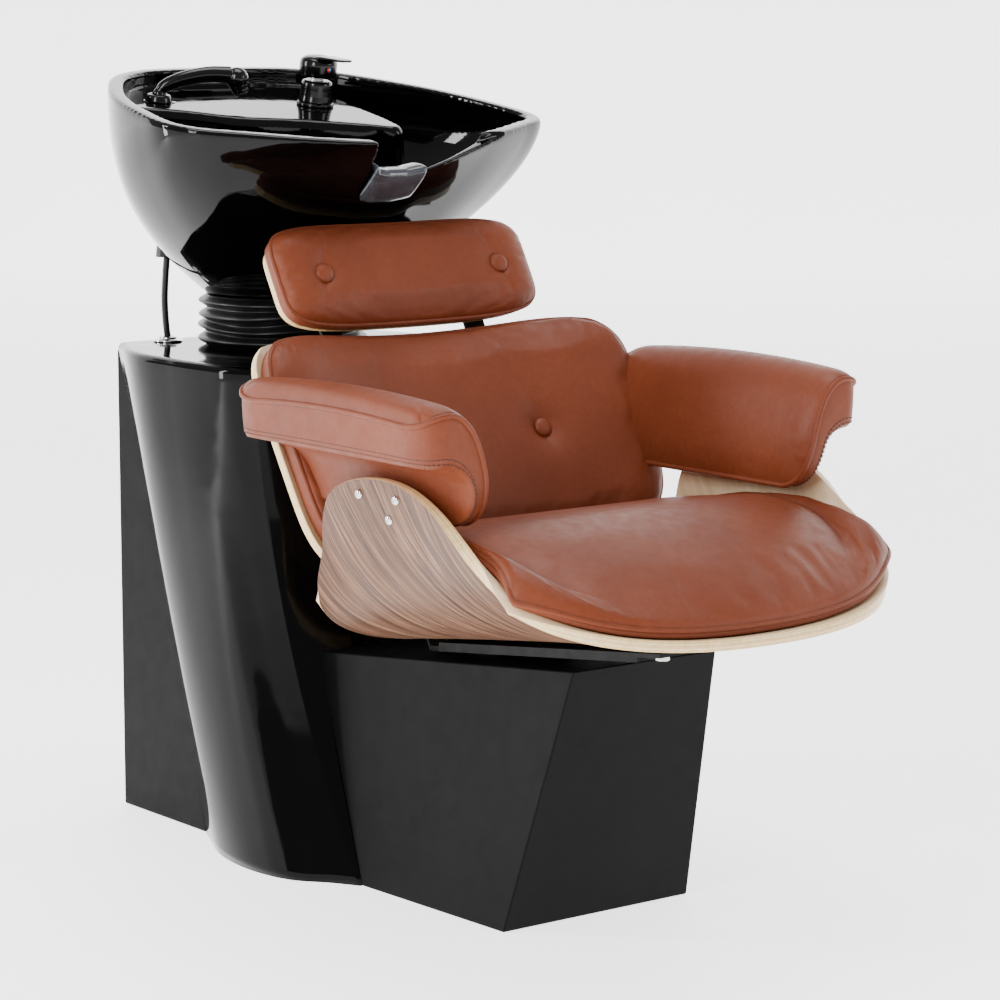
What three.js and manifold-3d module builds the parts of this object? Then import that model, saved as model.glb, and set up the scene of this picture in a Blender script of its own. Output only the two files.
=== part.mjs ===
// Shampoo backwash unit: a fixed moulded-plywood chair on a faceted pedestal, joined to a leaning
// column that carries a tilting ceramic basin with a lever mixer and a pull-out hand shower.
// Units are millimetres, +Z is up, -Y is the way the sitter faces. Inside the unit group Y = 0 is the
// pedestal's bottom front edge; the group is shifted so that the origin is the footprint's centre.

import * as THREE from 'three';
import { mergeVertices } from 'three/addons/utils/BufferGeometryUtils.js';
import Module from 'manifold-3d';

const wasm = await Module();
wasm.setup();

// ---- driving dimensions -------------------------------------------------------------------------
const CENTRE_Y = 267.35;         // middle of the unit's length, from the pedestal's front edge
const GAP = 0.3;                 // clearance kept between touching pieces

const COLUMN_TOP = 638;          // height of the column's flat top
const COLUMN_REAR = 619;         // column's rear edge at the floor
const COLUMN_LEAN = 200;         // how far the rear edge leans back over the column's height
const COLUMN_WALL = 5;
const CABINET_REAR = 828;
const CABINET_HALF = 163;

const PIVOT = [0, 670, 700];     // basin tilt axis, along X
const NECK_RADIUS = 100;
const NECK_Z = 706;
const BASIN_CENTRE = [0, 600, 958];
const BASIN_SLOPE = THREE.MathUtils.degToRad(9.6);
const RIM_WIDTH = 21;            // ceramic rim seen from above
const DECK_DROP = 20;            // deck below the rim plane

const SEAT_FRONT = -312;
const SEAT_REAR = 205;
const SEAT_FRONT_Z = 379;        // underside of the shell at its front centre
const SEAT_TILT = Math.tan(THREE.MathUtils.degToRad(7));
const PLY = 13;                  // plywood thickness
const SEAT_PAD = 132;            // seat cushion thickness at its middle

const RECLINE = THREE.MathUtils.degToRad(30);
const BACK_FOOT = [0, 232, 390]; // bottom centre of the back shell's front face
const BACK_LENGTH = 318;
const BACK_TOP_HALF = 284;
const BACK_FOOT_HALF = 272;
const BACK_WRAP = 62;            // how far the shell's side edges stand forward of its middle
const BACK_PAD = 50;
const HEADREST_STEP = 20;        // headrest stands this far forward of the back on its posts
const HEADREST_FOOT = 325;       // distance up the back plane to the headrest's lower edge
const HEADREST_HEIGHT = 138;
const HEADREST_HALF = 194;
const HEADREST_PAD = 42;

const ARM_FRONT = -105;
const ARM_REAR = 288;

const MIXER_AT = [66, 84];       // mixer axis on the deck, in the basin's own plane
const HOLDER_AT = [-150, 132];
const DRAIN_AT = [0, -35];       // clears the tilt pin on its way down into the column
const HOSE_OUT = [-112, 780];    // where the shower hose leaves the basin and enters the column

// ---- materials ----------------------------------------------------------------------------------
const paint = (color, roughness, metalness = 0) =>
  new THREE.MeshStandardMaterial({ color, roughness, metalness });
const M = {
  gloss: paint(0x0b0b0c, 0.12),
  satin: paint(0x1c1c1c, 0.45),
  ceramic: paint(0x080808, 0.05),
  steel: paint(0x2a2a2c, 0.5, 0.6),
  zinc: paint(0xb8babc, 0.35, 0.9),
  chrome: paint(0xd8d8dc, 0.1, 1.0),
  walnut: paint(0x96735f, 0.4),
  leather: paint(0x96502f, 0.5),
  rubber: paint(0x121212, 0.7),
  gel: paint(0x9aa0a6, 0.2),
  plastic: paint(0x141416, 0.3),
  mark: paint(0xb02020, 0.3),
};

// ---- geometry helpers ---------------------------------------------------------------------------
const lerp = THREE.MathUtils.lerp;
const vec = (x, y, z) => new THREE.Vector3(x, y, z);

function signedVolume(positions, index) {
  let volume = 0;
  const point = i => vec(positions[3 * i], positions[3 * i + 1], positions[3 * i + 2]);
  for (let i = 0; i < index.length; i += 3) {
    volume += point(index[i]).dot(point(index[i + 1]).cross(point(index[i + 2])));
  }
  return volume / 6;
}

// A closed mesh from points and triangles, turned so that its faces point out.
function closed(points, index) {
  const positions = points.flat();
  if (signedVolume(positions, index) < 0) index = index.slice().reverse();
  const geometry = new THREE.BufferGeometry();
  geometry.setAttribute('position', new THREE.Float32BufferAttribute(positions, 3));
  geometry.setIndex(index);
  return geometry;
}

// Rings of equal length joined one to the next, with a fan at each end.
function loft(rings) {
  const n = rings[0].length;
  const points = rings.flat();
  const index = [];
  for (let r = 0; r < rings.length - 1; r++) {
    for (let i = 0; i < n; i++) {
      const a = r * n + i;
      const b = r * n + (i + 1) % n;
      index.push(a, b, a + n, b, b + n, a + n);
    }
  }
  for (const [start, flip] of [[0, true], [(rings.length - 1) * n, false]]) {
    const ring = points.slice(start, start + n);
    const middle = [0, 1, 2].map(k => ring.reduce((sum, p) => sum + p[k], 0) / n);
    points.push(middle);
    const centre = points.length - 1;
    for (let i = 0; i < n; i++) {
      const a = start + i;
      const b = start + (i + 1) % n;
      index.push(...(flip ? [centre, b, a] : [centre, a, b]));
    }
  }
  return closed(points, index);
}

// Two grids of points, one over the other, joined round their border.
function slab(upper, lower) {
  const rows = upper.length;
  const cols = upper[0].length;
  const points = [...upper.flat(), ...lower.flat()];
  const under = rows * cols;
  const at = (r, c) => r * cols + c;
  const index = [];
  for (let r = 0; r < rows - 1; r++) {
    for (let c = 0; c < cols - 1; c++) {
      const [p, q, s, t] = [at(r, c), at(r, c + 1), at(r + 1, c), at(r + 1, c + 1)];
      index.push(p, q, s, q, t, s);
      index.push(p + under, s + under, q + under, q + under, s + under, t + under);
    }
  }
  const border = [];
  for (let c = 0; c < cols - 1; c++) border.push(at(0, c));
  for (let r = 0; r < rows - 1; r++) border.push(at(r, cols - 1));
  for (let c = cols - 1; c > 0; c--) border.push(at(rows - 1, c));
  for (let r = rows - 1; r > 0; r--) border.push(at(r, 0));
  border.forEach((a, i) => {
    const b = border[(i + 1) % border.length];
    index.push(a, a + under, b, b, a + under, b + under);
  });
  return closed(points, index);
}

// A rectangular block between two corners.
function block(low, high) {
  const geometry = new THREE.BoxGeometry(high[0] - low[0], high[1] - low[1], high[2] - low[2]);
  geometry.translate(...[0, 1, 2].map(k => (low[k] + high[k]) / 2));
  return geometry;
}

// A round rod from one point to another.
function rod(from, to, radius, sides = 16, endRadius = radius) {
  const a = vec(...from);
  const b = vec(...to);
  const geometry = new THREE.CylinderGeometry(endRadius, radius, a.distanceTo(b), sides);
  const turn = new THREE.Quaternion().setFromUnitVectors(vec(0, 1, 0), b.clone().sub(a).normalize());
  geometry.applyQuaternion(turn);
  geometry.translate(...a.add(b).multiplyScalar(0.5).toArray());
  return geometry;
}

// A turned piece about +Z from (radius, height) points.
function turned(profile, sides, at = [0, 0, 0]) {
  const geometry = new THREE.LatheGeometry(profile.map(p => new THREE.Vector2(...p)), sides);
  geometry.rotateX(Math.PI / 2);
  geometry.translate(...at);
  const merged = mergeVertices(bare(geometry), 1e-3);
  return closed(chunk(merged.attributes.position.array), tidyIndex(merged));
}

// A ring about +Z with a rectangular section.
const ring = (inner, outer, low, high, sides, at) =>
  turned([[inner, low], [outer, low], [outer, high], [inner, high], [inner, low]], sides, at);

// A round tube, solid through, along a smooth curve.
function tube(points, radius, sides, steps) {
  const circle = new THREE.Shape();
  for (let i = 0; i < sides; i++) {
    const angle = (2 * Math.PI * i) / sides;
    circle[i ? 'lineTo' : 'moveTo'](radius * Math.cos(angle), radius * Math.sin(angle));
  }
  const extrudePath = new THREE.CatmullRomCurve3(points.map(p => vec(...p)));
  return new THREE.ExtrudeGeometry(circle, { extrudePath, steps, bevelEnabled: false });
}

// A plate cut from an outline in the XY plane, from z = low to z = high.
function plate(outline, low, high) {
  const shape = new THREE.Shape(outline.map(p => new THREE.Vector2(...p)));
  const geometry = new THREE.ExtrudeGeometry(shape, { depth: high - low, bevelEnabled: false });
  return geometry.translate(0, 0, low);
}

const bare = geometry => {
  const copy = geometry.clone();
  ['normal', 'uv'].forEach(name => copy.deleteAttribute(name));
  return copy;
};
const chunk = array => Array.from({ length: array.length / 3 }, (_, i) =>
  Array.from(array.slice(3 * i, 3 * i + 3)));
const tidyIndex = geometry => {
  const kept = [];
  const index = geometry.index.array;
  for (let i = 0; i < index.length; i += 3) {
    const [a, b, c] = index.slice(i, i + 3);
    if (a !== b && b !== c && c !== a) kept.push(a, b, c);
  }
  return kept;
};

function solid(geometry) {
  const merged = mergeVertices(bare(geometry), 1e-3);
  return new wasm.Manifold(new wasm.Mesh({
    numProp: 3,
    vertProperties: new Float32Array(merged.attributes.position.array),
    triVerts: new Uint32Array(tidyIndex(merged)),
  }));
}

function shape(manifold) {
  const mesh = manifold.getMesh();
  const geometry = new THREE.BufferGeometry();
  geometry.setAttribute('position', new THREE.BufferAttribute(new Float32Array(mesh.vertProperties), 3));
  geometry.setIndex(new THREE.BufferAttribute(new Uint32Array(mesh.triVerts), 1));
  return geometry;
}

const cut = (body, ...tools) => shape(tools.reduce((left, tool) => left.subtract(solid(tool)), solid(body)));
const join = (first, ...rest) => shape(rest.reduce((sum, body) => sum.add(solid(body)), solid(first)));

// Half an outline given as a smooth curve through a few points, mirrored to a closed ring.
function mirroredRing(half, count, height) {
  const curve = new THREE.CatmullRomCurve3(half.map(p => vec(...p, 0)), false, 'centripetal');
  const side = curve.getPoints(count).map(p => [p.x, p.y, height(p)]);
  return [...side, ...side.slice().reverse().map(([x, y, z]) => [-x, y, z])];
}

// ---- scene graph --------------------------------------------------------------------------------
const object = new THREE.Group();
const unit = new THREE.Group();
unit.position.y = -CENTRE_Y;
object.add(unit);

function add(parent, name, geometry, material) {
  const mesh = new THREE.Mesh(geometry, material);
  mesh.name = name;
  parent.add(mesh);
  return mesh;
}

// ---- column and rear cabinet --------------------------------------------------------------------
// Half outline from front to rear as [half width at the floor, half width at the top, share of depth].
const COLUMN_OUTLINE = [
  [156, 205, 0], [177, 222, 0.1], [208, 227, 0.22], [222, 229, 0.41], [212, 223, 0.67], [164, 168, 1],
];
const columnFront = z => 276 + 0.51 * z - 0.00042 * z * z;
const columnRear = z => COLUMN_REAR + (COLUMN_LEAN * z) / COLUMN_TOP;

function columnRing(z, inset) {
  const share = Math.max(0, z) / COLUMN_TOP;
  const [front, rear] = [columnFront(z) + inset, columnRear(z) - inset];
  const half = COLUMN_OUTLINE.map(([low, high, depth]) =>
    [lerp(low, high, share) - inset, lerp(front, rear, depth)]);
  return mirroredRing(half, 10, () => z);
}

function columnShell() {
  const heights = [0, 90, 180, 280, 400, 520, COLUMN_TOP - 8];
  const outer = heights.map(z => columnRing(z, 0));
  outer.push(columnRing(COLUMN_TOP, 0).map(([x, y, z]) => [x * 0.975, 625 + (y - 625) * 0.975, z]));
  const inner = [-5, 90, 180, 280, 400, 520, COLUMN_TOP - COLUMN_WALL].map(z => columnRing(z, COLUMN_WALL));
  const doorway = block([-96, 240, -5], [96, 330, 60]);
  const serviceHole = block([-110, 590, 90], [110, 780, 420]);
  const neckHole = rod([PIVOT[0], PIVOT[1], 600], [PIVOT[0], PIVOT[1], 660], 84, 32);
  const grommetHole = rod([...HOSE_OUT, 600], [...HOSE_OUT, 660], 15.3, 20);
  return cut(loft(outer), loft(inner), doorway, serviceHole, neckHole, grommetHole);
}

function rearCabinet() {
  const top = COLUMN_TOP - 10;
  const wedge = (half, front, rear, low, high) => loft([low, high].map(z =>
    [[-half, columnRear(z) + front, z], [half, columnRear(z) + front, z],
      [half, rear, z], [-half, rear, z]]));
  const outer = wedge(CABINET_HALF, GAP + 0.2, CABINET_REAR, 0, top - 1);
  const inner = wedge(CABINET_HALF - 3, -40, CABINET_REAR - 3, -20, top - 30);
  const opening = block([-105, CABINET_REAR - 10, 110], [105, CABINET_REAR + 10, 430]);
  return cut(outer, inner, opening);
}

add(unit, 'column_shell', columnShell(), M.gloss);
add(unit, 'rear_cabinet', rearCabinet(), M.satin);

const PANEL_Y = CABINET_REAR + GAP;
add(unit, 'access_panel', block([-122, PANEL_Y, 92], [122, PANEL_Y + 3, 448]), M.satin);
[[-112, 438], [112, 438]].forEach(([x, z], i) => {
  const from = PANEL_Y + 3 + GAP;
  add(unit, `panel_screw_${i + 1}`, rod([x, from, z], [x, from + 2.5, z], 5, 12, 3.6), M.zinc);
});

// ---- base frame inside the covers ---------------------------------------------------------------
const PLATE_TOP = 8;
function basePlate() {
  const outline = [[-120, 16], [120, 16], [120, 262], [90, 262], [90, 300], [140, 320], [140, 590],
    [-140, 590], [-140, 320], [-90, 300], [-90, 262], [-120, 262]];
  const anchorHoles = anchors.map(([x, y]) => rod([x, y, -5], [x, y, 20], 6.5, 12));
  return cut(plate(outline, 0, PLATE_TOP), ...anchorHoles);
}
const anchors = [[-95, 45], [95, 45], [-115, 545], [115, 545]];
add(unit, 'base_plate', basePlate(), M.steel);

const seatUnder = y => SEAT_FRONT_Z - (y - SEAT_FRONT) * SEAT_TILT;
const SEAT_PLATE = 5;
const POST_AT = [0, 125];
function seatPost() {
  const [x, y] = POST_AT;
  const top = seatUnder(y + 30) - SEAT_PLATE - 6;
  const outer = block([x - 30, y - 30, PLATE_TOP + GAP], [x + 30, y + 30, top]);
  const hollow = block([x - 26, y - 26, 0], [x + 26, y + 26, top + 5]);
  return cut(outer, hollow);
}
add(unit, 'seat_post', seatPost(), M.steel);

[-1, 1].forEach((side, i) => {
  const foot = [side * 80, 430];
  const head = [side * 80, 560];
  const beam = loft([[...foot, PLATE_TOP + GAP], [...head, COLUMN_TOP - 70]].map(([x, y, z]) =>
    [[x - 20, y - 20, z], [x + 20, y - 20, z], [x + 20, y + 20, z], [x - 20, y + 20, z]]));
  add(unit, `column_upright_${i ? 'right' : 'left'}`, beam, M.steel);
});
function headFrame() {
  const low = COLUMN_TOP - 70 + GAP;
  const deck = block([-105, 535, low], [105, 770, low + 5]);
  const walls = [-1, 1].map(side => {
    const [a, b] = [side * 105, side * 97].sort((p, q) => p - q);
    return block([a, 600, low], [b, 740, COLUMN_TOP - COLUMN_WALL - GAP]);
  });
  const passage = rod([0, 656, low - 10], [0, 656, low + 20], 80, 24);
  return cut(join(deck, ...walls), passage);
}
add(unit, 'column_head_frame', headFrame(), M.steel);

// ---- pedestal -----------------------------------------------------------------------------------
// The four corners of the pedestal at the floor and at its sloping top.
const PEDESTAL = {
  low: [[-143, 0, 0], [143, 0, 0], [154, 275, 0], [-154, 275, 0]],
  high: [[-109, -89, 325], [109, -89, 325], [136, 395, 277], [-136, 395, 277]],
};
function pedestalCover() {
  const outer = loft([PEDESTAL.low, PEDESTAL.high]);
  const shrink = ([x, y, z], drop) => [x - Math.sign(x) * 4, y + (y < 200 ? 4 : 60), z + drop];
  const inner = loft([PEDESTAL.low.map(p => shrink(p, -3)), PEDESTAL.high.map(p => shrink(p, -4))]);
  const postHole = block([-34, POST_AT[1] - 34, 200], [34, POST_AT[1] + 34, 400]);
  const column = loft([-10, 60, 130, 200, 280, 380].map(z => columnRing(z, -GAP - 0.5)));
  return cut(outer, inner, postHole, column);
}
add(unit, 'pedestal_cover', pedestalCover(), M.satin);

// ---- seat shell and cushion ---------------------------------------------------------------------
// The shell's left edge from its front corner, up over the wing and down to its rear corner.
const SEAT_EDGE = new THREE.CatmullRomCurve3([
  [280, -188, 428], [285, -156, 458], [288, -110, 495], [287, -62, 526], [283, 0, 546], [281, 60, 549],
  [280, 115, 539], [278, 152, 520], [276, 167, 492], [273, 175, 450], [270, 192, 412], [268, 200, 384],
].map(p => vec(...p)), false, 'centripetal');
const SEAT_ROWS = 14;
const SEAT_HALF_COLS = 8;

// A point on the shell's middle surface: along runs 0 to 1 from front to rear, across -1 to 1.
function seatPoint(along, across) {
  const edge = SEAT_EDGE.getPoint(along);
  const middle = lerp(SEAT_FRONT, SEAT_REAR, along);
  const s = Math.abs(across);
  const y = lerp(middle, edge.y, s * s);
  const floor = seatUnder(middle) + PLY / 2;
  const rise = edge.z - floor;
  const bend = Math.min(1, rise / 170);
  const x = bezier(s, 0, lerp(0.45, 0.78, bend) * edge.x, lerp(0.8, 1.0, bend) * edge.x, edge.x);
  const z = floor + rise * bezier(s, 0, 0, lerp(0.25, 0.34, bend), 1);
  return vec(Math.sign(across) * x, y, z);
}
const bezier = (t, a, b, c, d) =>
  a * (1 - t) ** 3 + 3 * b * t * (1 - t) ** 2 + 3 * c * t * t * (1 - t) + d * t ** 3;

function seatNormal(along, across) {
  const d = 0.01;
  const a0 = Math.max(0, along - d);
  const a1 = Math.min(1, along + d);
  const c0 = Math.max(-1, across - d);
  const c1 = Math.min(1, across + d);
  const down = seatPoint(a1, across).sub(seatPoint(a0, across));
  const over = seatPoint(along, c1).sub(seatPoint(along, c0));
  return over.cross(down).normalize();
}

// A grid over the seat surface, lifted by height(row share, across share).
function seatGrid(rows, halfCols, span, height) {
  return Array.from({ length: rows + 1 }, (_, r) => Array.from({ length: 2 * halfCols + 1 }, (_, c) => {
    const [along, across] = span(r / rows, c / halfCols - 1);
    const lift = height(r / rows, c / halfCols - 1);
    return seatPoint(along, across).addScaledVector(seatNormal(along, across), lift).toArray();
  }));
}

const wholeSeat = (r, c) => [r, c];
const seatShell = slab(
  seatGrid(SEAT_ROWS, SEAT_HALF_COLS, wholeSeat, () => PLY / 2),
  seatGrid(SEAT_ROWS, SEAT_HALF_COLS, wholeSeat, () => -PLY / 2));
add(unit, 'seat_shell', seatShell, M.walnut);

// The cushion fills the shell's dished part between the wings, with a rounded edge and a flat top.
const cushionSpan = (r, c) => {
  const along = lerp(0.035, 0.93, r);
  const reach = lerp(0.93, 0.8, THREE.MathUtils.smoothstep(along, 0.02, 0.4));
  return [along, c * reach];
};
const CUSHION_EDGE = 12;
const CUSHION_ROLL = 30;
function cushionTop([x, y, z], r, c) {
  const inwards = Math.min(1, Math.min(r, 1 - r, 1 - Math.abs(c)) / 0.14);
  const roll = Math.sqrt(1 - (1 - inwards) ** 2);
  const flat = seatUnder(y) + PLY + SEAT_PAD * THREE.MathUtils.smoothstep(r, -0.25, 0.5);
  return [x, y, z + CUSHION_EDGE + Math.max(CUSHION_ROLL, flat - z - CUSHION_EDGE) * roll];
}
function seatCushion() {
  const lower = seatGrid(12, 7, cushionSpan, () => PLY / 2 + 4);
  const upper = lower.map((row, r) => row.map((p, c) => cushionTop(p, r / 12, c / 7 - 1)));
  return slab(upper, lower);
}

// Folded plate that carries the shell, bolted through it.
function seatPlate() {
  const [front, rear] = [-232, 185];
  const top = y => seatUnder(y) - 1.5;
  const sheet = (x0, x1, y0, y1, drop, thick) => loft([y0, y1].map(y => [
    [x0, y, top(y) - drop - thick], [x1, y, top(y) - drop - thick],
    [x1, y, top(y) - drop], [x0, y, top(y) - drop]]));
  return join(sheet(-100, 100, front, rear, 0, SEAT_PLATE),
    sheet(-100, -96, front + 40, rear, 2, 9), sheet(96, 100, front + 40, rear, 2, 9));
}
add(unit, 'seat_plate', seatPlate(), M.steel);
[[-60, -190], [60, -190]].forEach(([x, y], i) => {
  const top = seatUnder(y) - 1.5 - SEAT_PLATE - GAP - 1;
  add(unit, `seat_bolt_${i + 1}`, rod([x, y, top - 7], [x, y, top], 8, 6), M.zinc);
});

// ---- back and headrest --------------------------------------------------------------------------
const back = new THREE.Group();
back.position.set(...BACK_FOOT);
back.rotation.x = Math.PI / 2 - RECLINE;   // local +Y runs up the back, local +Z faces the sitter
unit.add(back);

// A rounded panel in the back's plane: wrap bends its sides forward, pad crowns its face.
function backPanel({ foot, length, footHalf, topHalf, wrap, round, low, high, inset = 0, crownHeight = 0 }) {
  const [rows, cols] = [10, 16];
  const grid = lift => Array.from({ length: rows + 1 },
    (_, r) => Array.from({ length: cols + 1 }, (_, c) => {
    const [v, u] = [r / rows, (2 * c) / cols - 1];
    const half = lerp(footHalf, topHalf, v) - inset;
    const end = Math.abs(2 * v - 1);
    const corner = 1 - round * end ** 6;
    const droop = 0.5 * round * footHalf * Math.abs(u) ** 6;
    const x = u * half * corner;
    const y = foot + inset + v * (length - 2 * inset) + (0.5 - v) * 2 * droop;
    return [x, y, wrap * (x / topHalf) ** 2 + lift(v, u)];
  }));
  const face = (v, u) => high + crownHeight * Math.sqrt((1 - (2 * v - 1) ** 6) * (1 - Math.abs(u) ** 6));
  return slab(grid(face), grid(() => low));
}
const BACK = {
  foot: 0, length: BACK_LENGTH, footHalf: BACK_FOOT_HALF, topHalf: BACK_TOP_HALF,
  wrap: BACK_WRAP, round: 0.12,
};
add(back, 'back_shell', backPanel({ ...BACK, low: -PLY, high: 0 }), M.walnut);
add(back, 'back_cushion',
  backPanel({ ...BACK, low: 0.6, high: 12, inset: 7, crownHeight: BACK_PAD - 12 }), M.leather);

// The back with a margin round it, which the seat cushion is cut to, and a plain block for the arms.
back.updateMatrix();
const backSpace = backPanel({ ...BACK, low: -PLY - 1, high: 14, inset: -1.5, crownHeight: BACK_PAD - 11 })
  .applyMatrix4(back.matrix);
function cutClear(geometry, space) {
  const pieces = solid(geometry).subtract(solid(space)).decompose();
  return shape(pieces.sort((a, b) => b.volume() - a.volume())[0]);
}
const backBlock = block([-290, -60, -40], [290, BACK_LENGTH + 80, BACK_WRAP + 20]).applyMatrix4(back.matrix);
add(unit, 'seat_cushion', cutClear(seatCushion(), backSpace), M.leather);

const HEADREST = {
  foot: HEADREST_FOOT, length: HEADREST_HEIGHT, footHalf: HEADREST_HALF, topHalf: HEADREST_HALF,
  wrap: 8, round: 0.1,
};
add(back, 'headrest_shell',
  backPanel({ ...HEADREST, low: HEADREST_STEP - PLY, high: HEADREST_STEP }), M.walnut);
add(back, 'headrest_cushion',
  backPanel({
    ...HEADREST, low: HEADREST_STEP + 0.6, high: HEADREST_STEP + 12, inset: 6,
    crownHeight: HEADREST_PAD - 12,
  }), M.leather);

function button(name, x, y, seatHeight) {
  add(back, name, turned([[0, 0], [13, 0], [11, 5], [6, 8], [0, 9]], 16, [x, y, seatHeight]), M.leather);
}
const BUTTON_ROW = 160;
const BUTTON_X = 125;
const dish = (x, wrap, half) => wrap * (x / half) ** 2;
const backButtonLift = BACK_PAD + dish(BUTTON_X + 13, BACK_WRAP, BACK_TOP_HALF) + 1;
button('back_button_left', -BUTTON_X, BUTTON_ROW, backButtonLift);
button('back_button_right', BUTTON_X, BUTTON_ROW, backButtonLift);
const HEAD_MIDDLE = HEADREST_FOOT + 64;
const HEAD_FACE = HEADREST_STEP + HEADREST_PAD;
button('headrest_button_left', -136, HEAD_MIDDLE, HEAD_FACE + dish(149, 8, HEADREST_HALF) + 1);
button('headrest_button_right', 136, HEAD_MIDDLE, HEAD_FACE + dish(149, 8, HEADREST_HALF) + 1);

const POST_X = 112;
[-1, 1].forEach(side => {
  const name = `headrest_post_${side < 0 ? 'left' : 'right'}`;
  const behind = -PLY - 1;
  const ahead = behind + HEADREST_STEP;
  const bar = (y0, y1, z0, z1) => block([side * POST_X - 15, y0, z0], [side * POST_X + 15, y1, z1]);
  const [step, clear] = [BACK_LENGTH + 0.6, HEADREST_FOOT - 0.6];
  add(back, name, join(bar(190, clear, behind - 5, behind), bar(step, clear, behind - 5, ahead),
    bar(step, HEADREST_FOOT + 125, ahead - 5, ahead)), M.steel);
});

// Bent straps that hold the back shell to the seat plate.
[-1, 1].forEach(side => {
  const name = `back_bracket_${side < 0 ? 'left' : 'right'}`;
  const x = side * 62;
  const line = [[150, seatUnder(150) - 9], [228, seatUnder(228) - 9], [262, 376], [352, 530]];
  const strap = line.map(([y, z], i) => {
    const thick = i < 2 ? [0, -6] : [5, -3];
    const [backY, backZ] = [y + thick[0], z + thick[1]];
    return [[x - 20, y, z], [x + 20, y, z], [x + 20, backY, backZ], [x - 20, backY, backZ]];
  });
  add(unit, name, loft(strap), M.steel);
});

// ---- arms ---------------------------------------------------------------------------------------
// Pad section from its outer edge, over the crown and down inside the wing: [x, z] outside then inside.
const ARM_SHOW = [
  [330, 600], [330, 624], [312, 643], [286, 642], [263, 616], [250, 580], [243, 540], [242, 506],
];
const ARM_BACK = [
  [322, 580], [316, 579], [298, 579], [282, 574], [268, 562], [263, 545], [262, 525], [257, 502],
];
function armPad(side) {
  const stations = [[ARM_FRONT, -9], [ARM_FRONT + 12, 0], [0, 6], [100, 13], [200, 12], [ARM_REAR - 12, 0],
    [ARM_REAR, -12]];
  const rings = stations.map(([y, rise]) => {
    const pinch = rise < -5 ? 0.82 : 1;
    return [...ARM_SHOW.map(([x, z], i) => {
      const [bx, bz] = ARM_BACK[i];
      return [side * lerp(bx, x, pinch), y, lerp(bz, z, pinch) + (pinch < 1 ? 0 : rise)];
    }), ...ARM_BACK.slice().reverse().map(([x, z]) => [side * x, y, z])];
  });
  return loft(rings);
}
[-1, 1].forEach(side => {
  const hand = side < 0 ? 'left' : 'right';
  add(unit, `arm_pad_${hand}`, cutClear(armPad(side), backBlock), M.leather);
});

// Screws through each wing into the arm.
[-1, 1].forEach(side => {
  const hand = side < 0 ? 'left' : 'right';
  [[0.515, 0.96], [0.4, 0.95], [0.455, 0.88]].forEach(([along, across], i) => {
    const normal = seatNormal(along, side * across);
    const base = seatPoint(along, side * across).addScaledVector(normal, -PLY / 2 - 0.9);
    const tip = base.clone().addScaledVector(normal, -4);
    add(unit, `arm_screw_${hand}_${i + 1}`, rod(base.toArray(), tip.toArray(), 6, 12, 3.2), M.chrome);
  });
});

// ---- basin --------------------------------------------------------------------------------------
const basin = new THREE.Group();
basin.position.set(...BASIN_CENTRE);
basin.rotation.x = BASIN_SLOPE;
unit.add(basin);
basin.updateMatrix();
const toBasin = basin.matrix.clone().invert();
const local = (x, y, z) => vec(x, y, z).applyMatrix4(toBasin).toArray();

// Half rim outline from the front notch round to the rear, in the rim's own plane.
const RIM = [
  [0, -257], [66, -254], [140, -224], [222, -178], [271, -146], [290, -106], [286, -36],
  [265, 56], [224, 141], [176, 206], [120, 240], [50, 250], [0, 251],
];
const RIM_COUNT = 28;
const rimCurve = new THREE.CatmullRomCurve3(RIM.map(p => vec(...p, 0)), false, 'centripetal');

// Rim points as directions round the basin, left half then right half, without doubled ends.
function rimLoop(inset) {
  const side = rimCurve.getSpacedPoints(RIM_COUNT);
  const loop = [...side, ...side.slice(1, -1).reverse().map(p => vec(-p.x, p.y, 0))];
  return loop.map((p, i) => {
    const before = loop[(i + loop.length - 1) % loop.length];
    const after = loop[(i + 1) % loop.length];
    const along = after.clone().sub(before).normalize();
    return [p.x - inset * along.y, p.y + inset * along.x];
  });
}

// The walls fall steeply at the rear and run more straight to the neck at the front and its tips.
function fall(x, v) {
  const { smoothstep } = THREE.MathUtils;
  const front = lerp(1.02, 1.55, smoothstep(Math.abs(x), 60, 240));
  return lerp(front, 2.7, smoothstep(v, -190, 60));
}

function basinOuter() {
  const rim = rimLoop(0);
  const depths = [0, 0.06, 0.16, 0.3, 0.45, 0.6, 0.74, 0.86, 0.94, 1];
  const rings = depths.map(depth => rim.map(([x, v]) => {
    const top = vec(x, v, 0).applyMatrix4(basin.matrix);
    const out = vec(top.x - PIVOT[0], top.y - PIVOT[1], 0).normalize().multiplyScalar(NECK_RADIUS);
    const share = 1 - depth ** fall(x, v);
    return local(lerp(PIVOT[0] + out.x, top.x, share), lerp(PIVOT[1] + out.y, top.y, share),
      lerp(top.z, NECK_Z, depth));
  }));
  return loft([rim.map(([x, v]) => [x * 0.975, v * 0.975, 3]), ...rings]);
}

// The bowl runs from inside the rim down to a round floor about the drain.
const BOWL_DEPTH = 178;
function bowlCavity() {
  const rim = rimLoop(RIM_WIDTH);
  const depths = [-0.12, 0, 0.1, 0.25, 0.42, 0.6, 0.78, 0.92, 1];
  const floorRadius = 46;
  return loft(depths.map(depth => rim.map(([x, v]) => {
    const d = Math.max(0, depth);
    const share = 1 - d ** (fall(x, v) + 0.5);
    const angle = Math.atan2(v - DRAIN_AT[1], x - DRAIN_AT[0]);
    const fx = DRAIN_AT[0] + floorRadius * Math.cos(angle);
    const fv = DRAIN_AT[1] + floorRadius * Math.sin(angle);
    return [lerp(fx, x, share), lerp(fv, v, share), -depth * BOWL_DEPTH];
  })));
}

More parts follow.
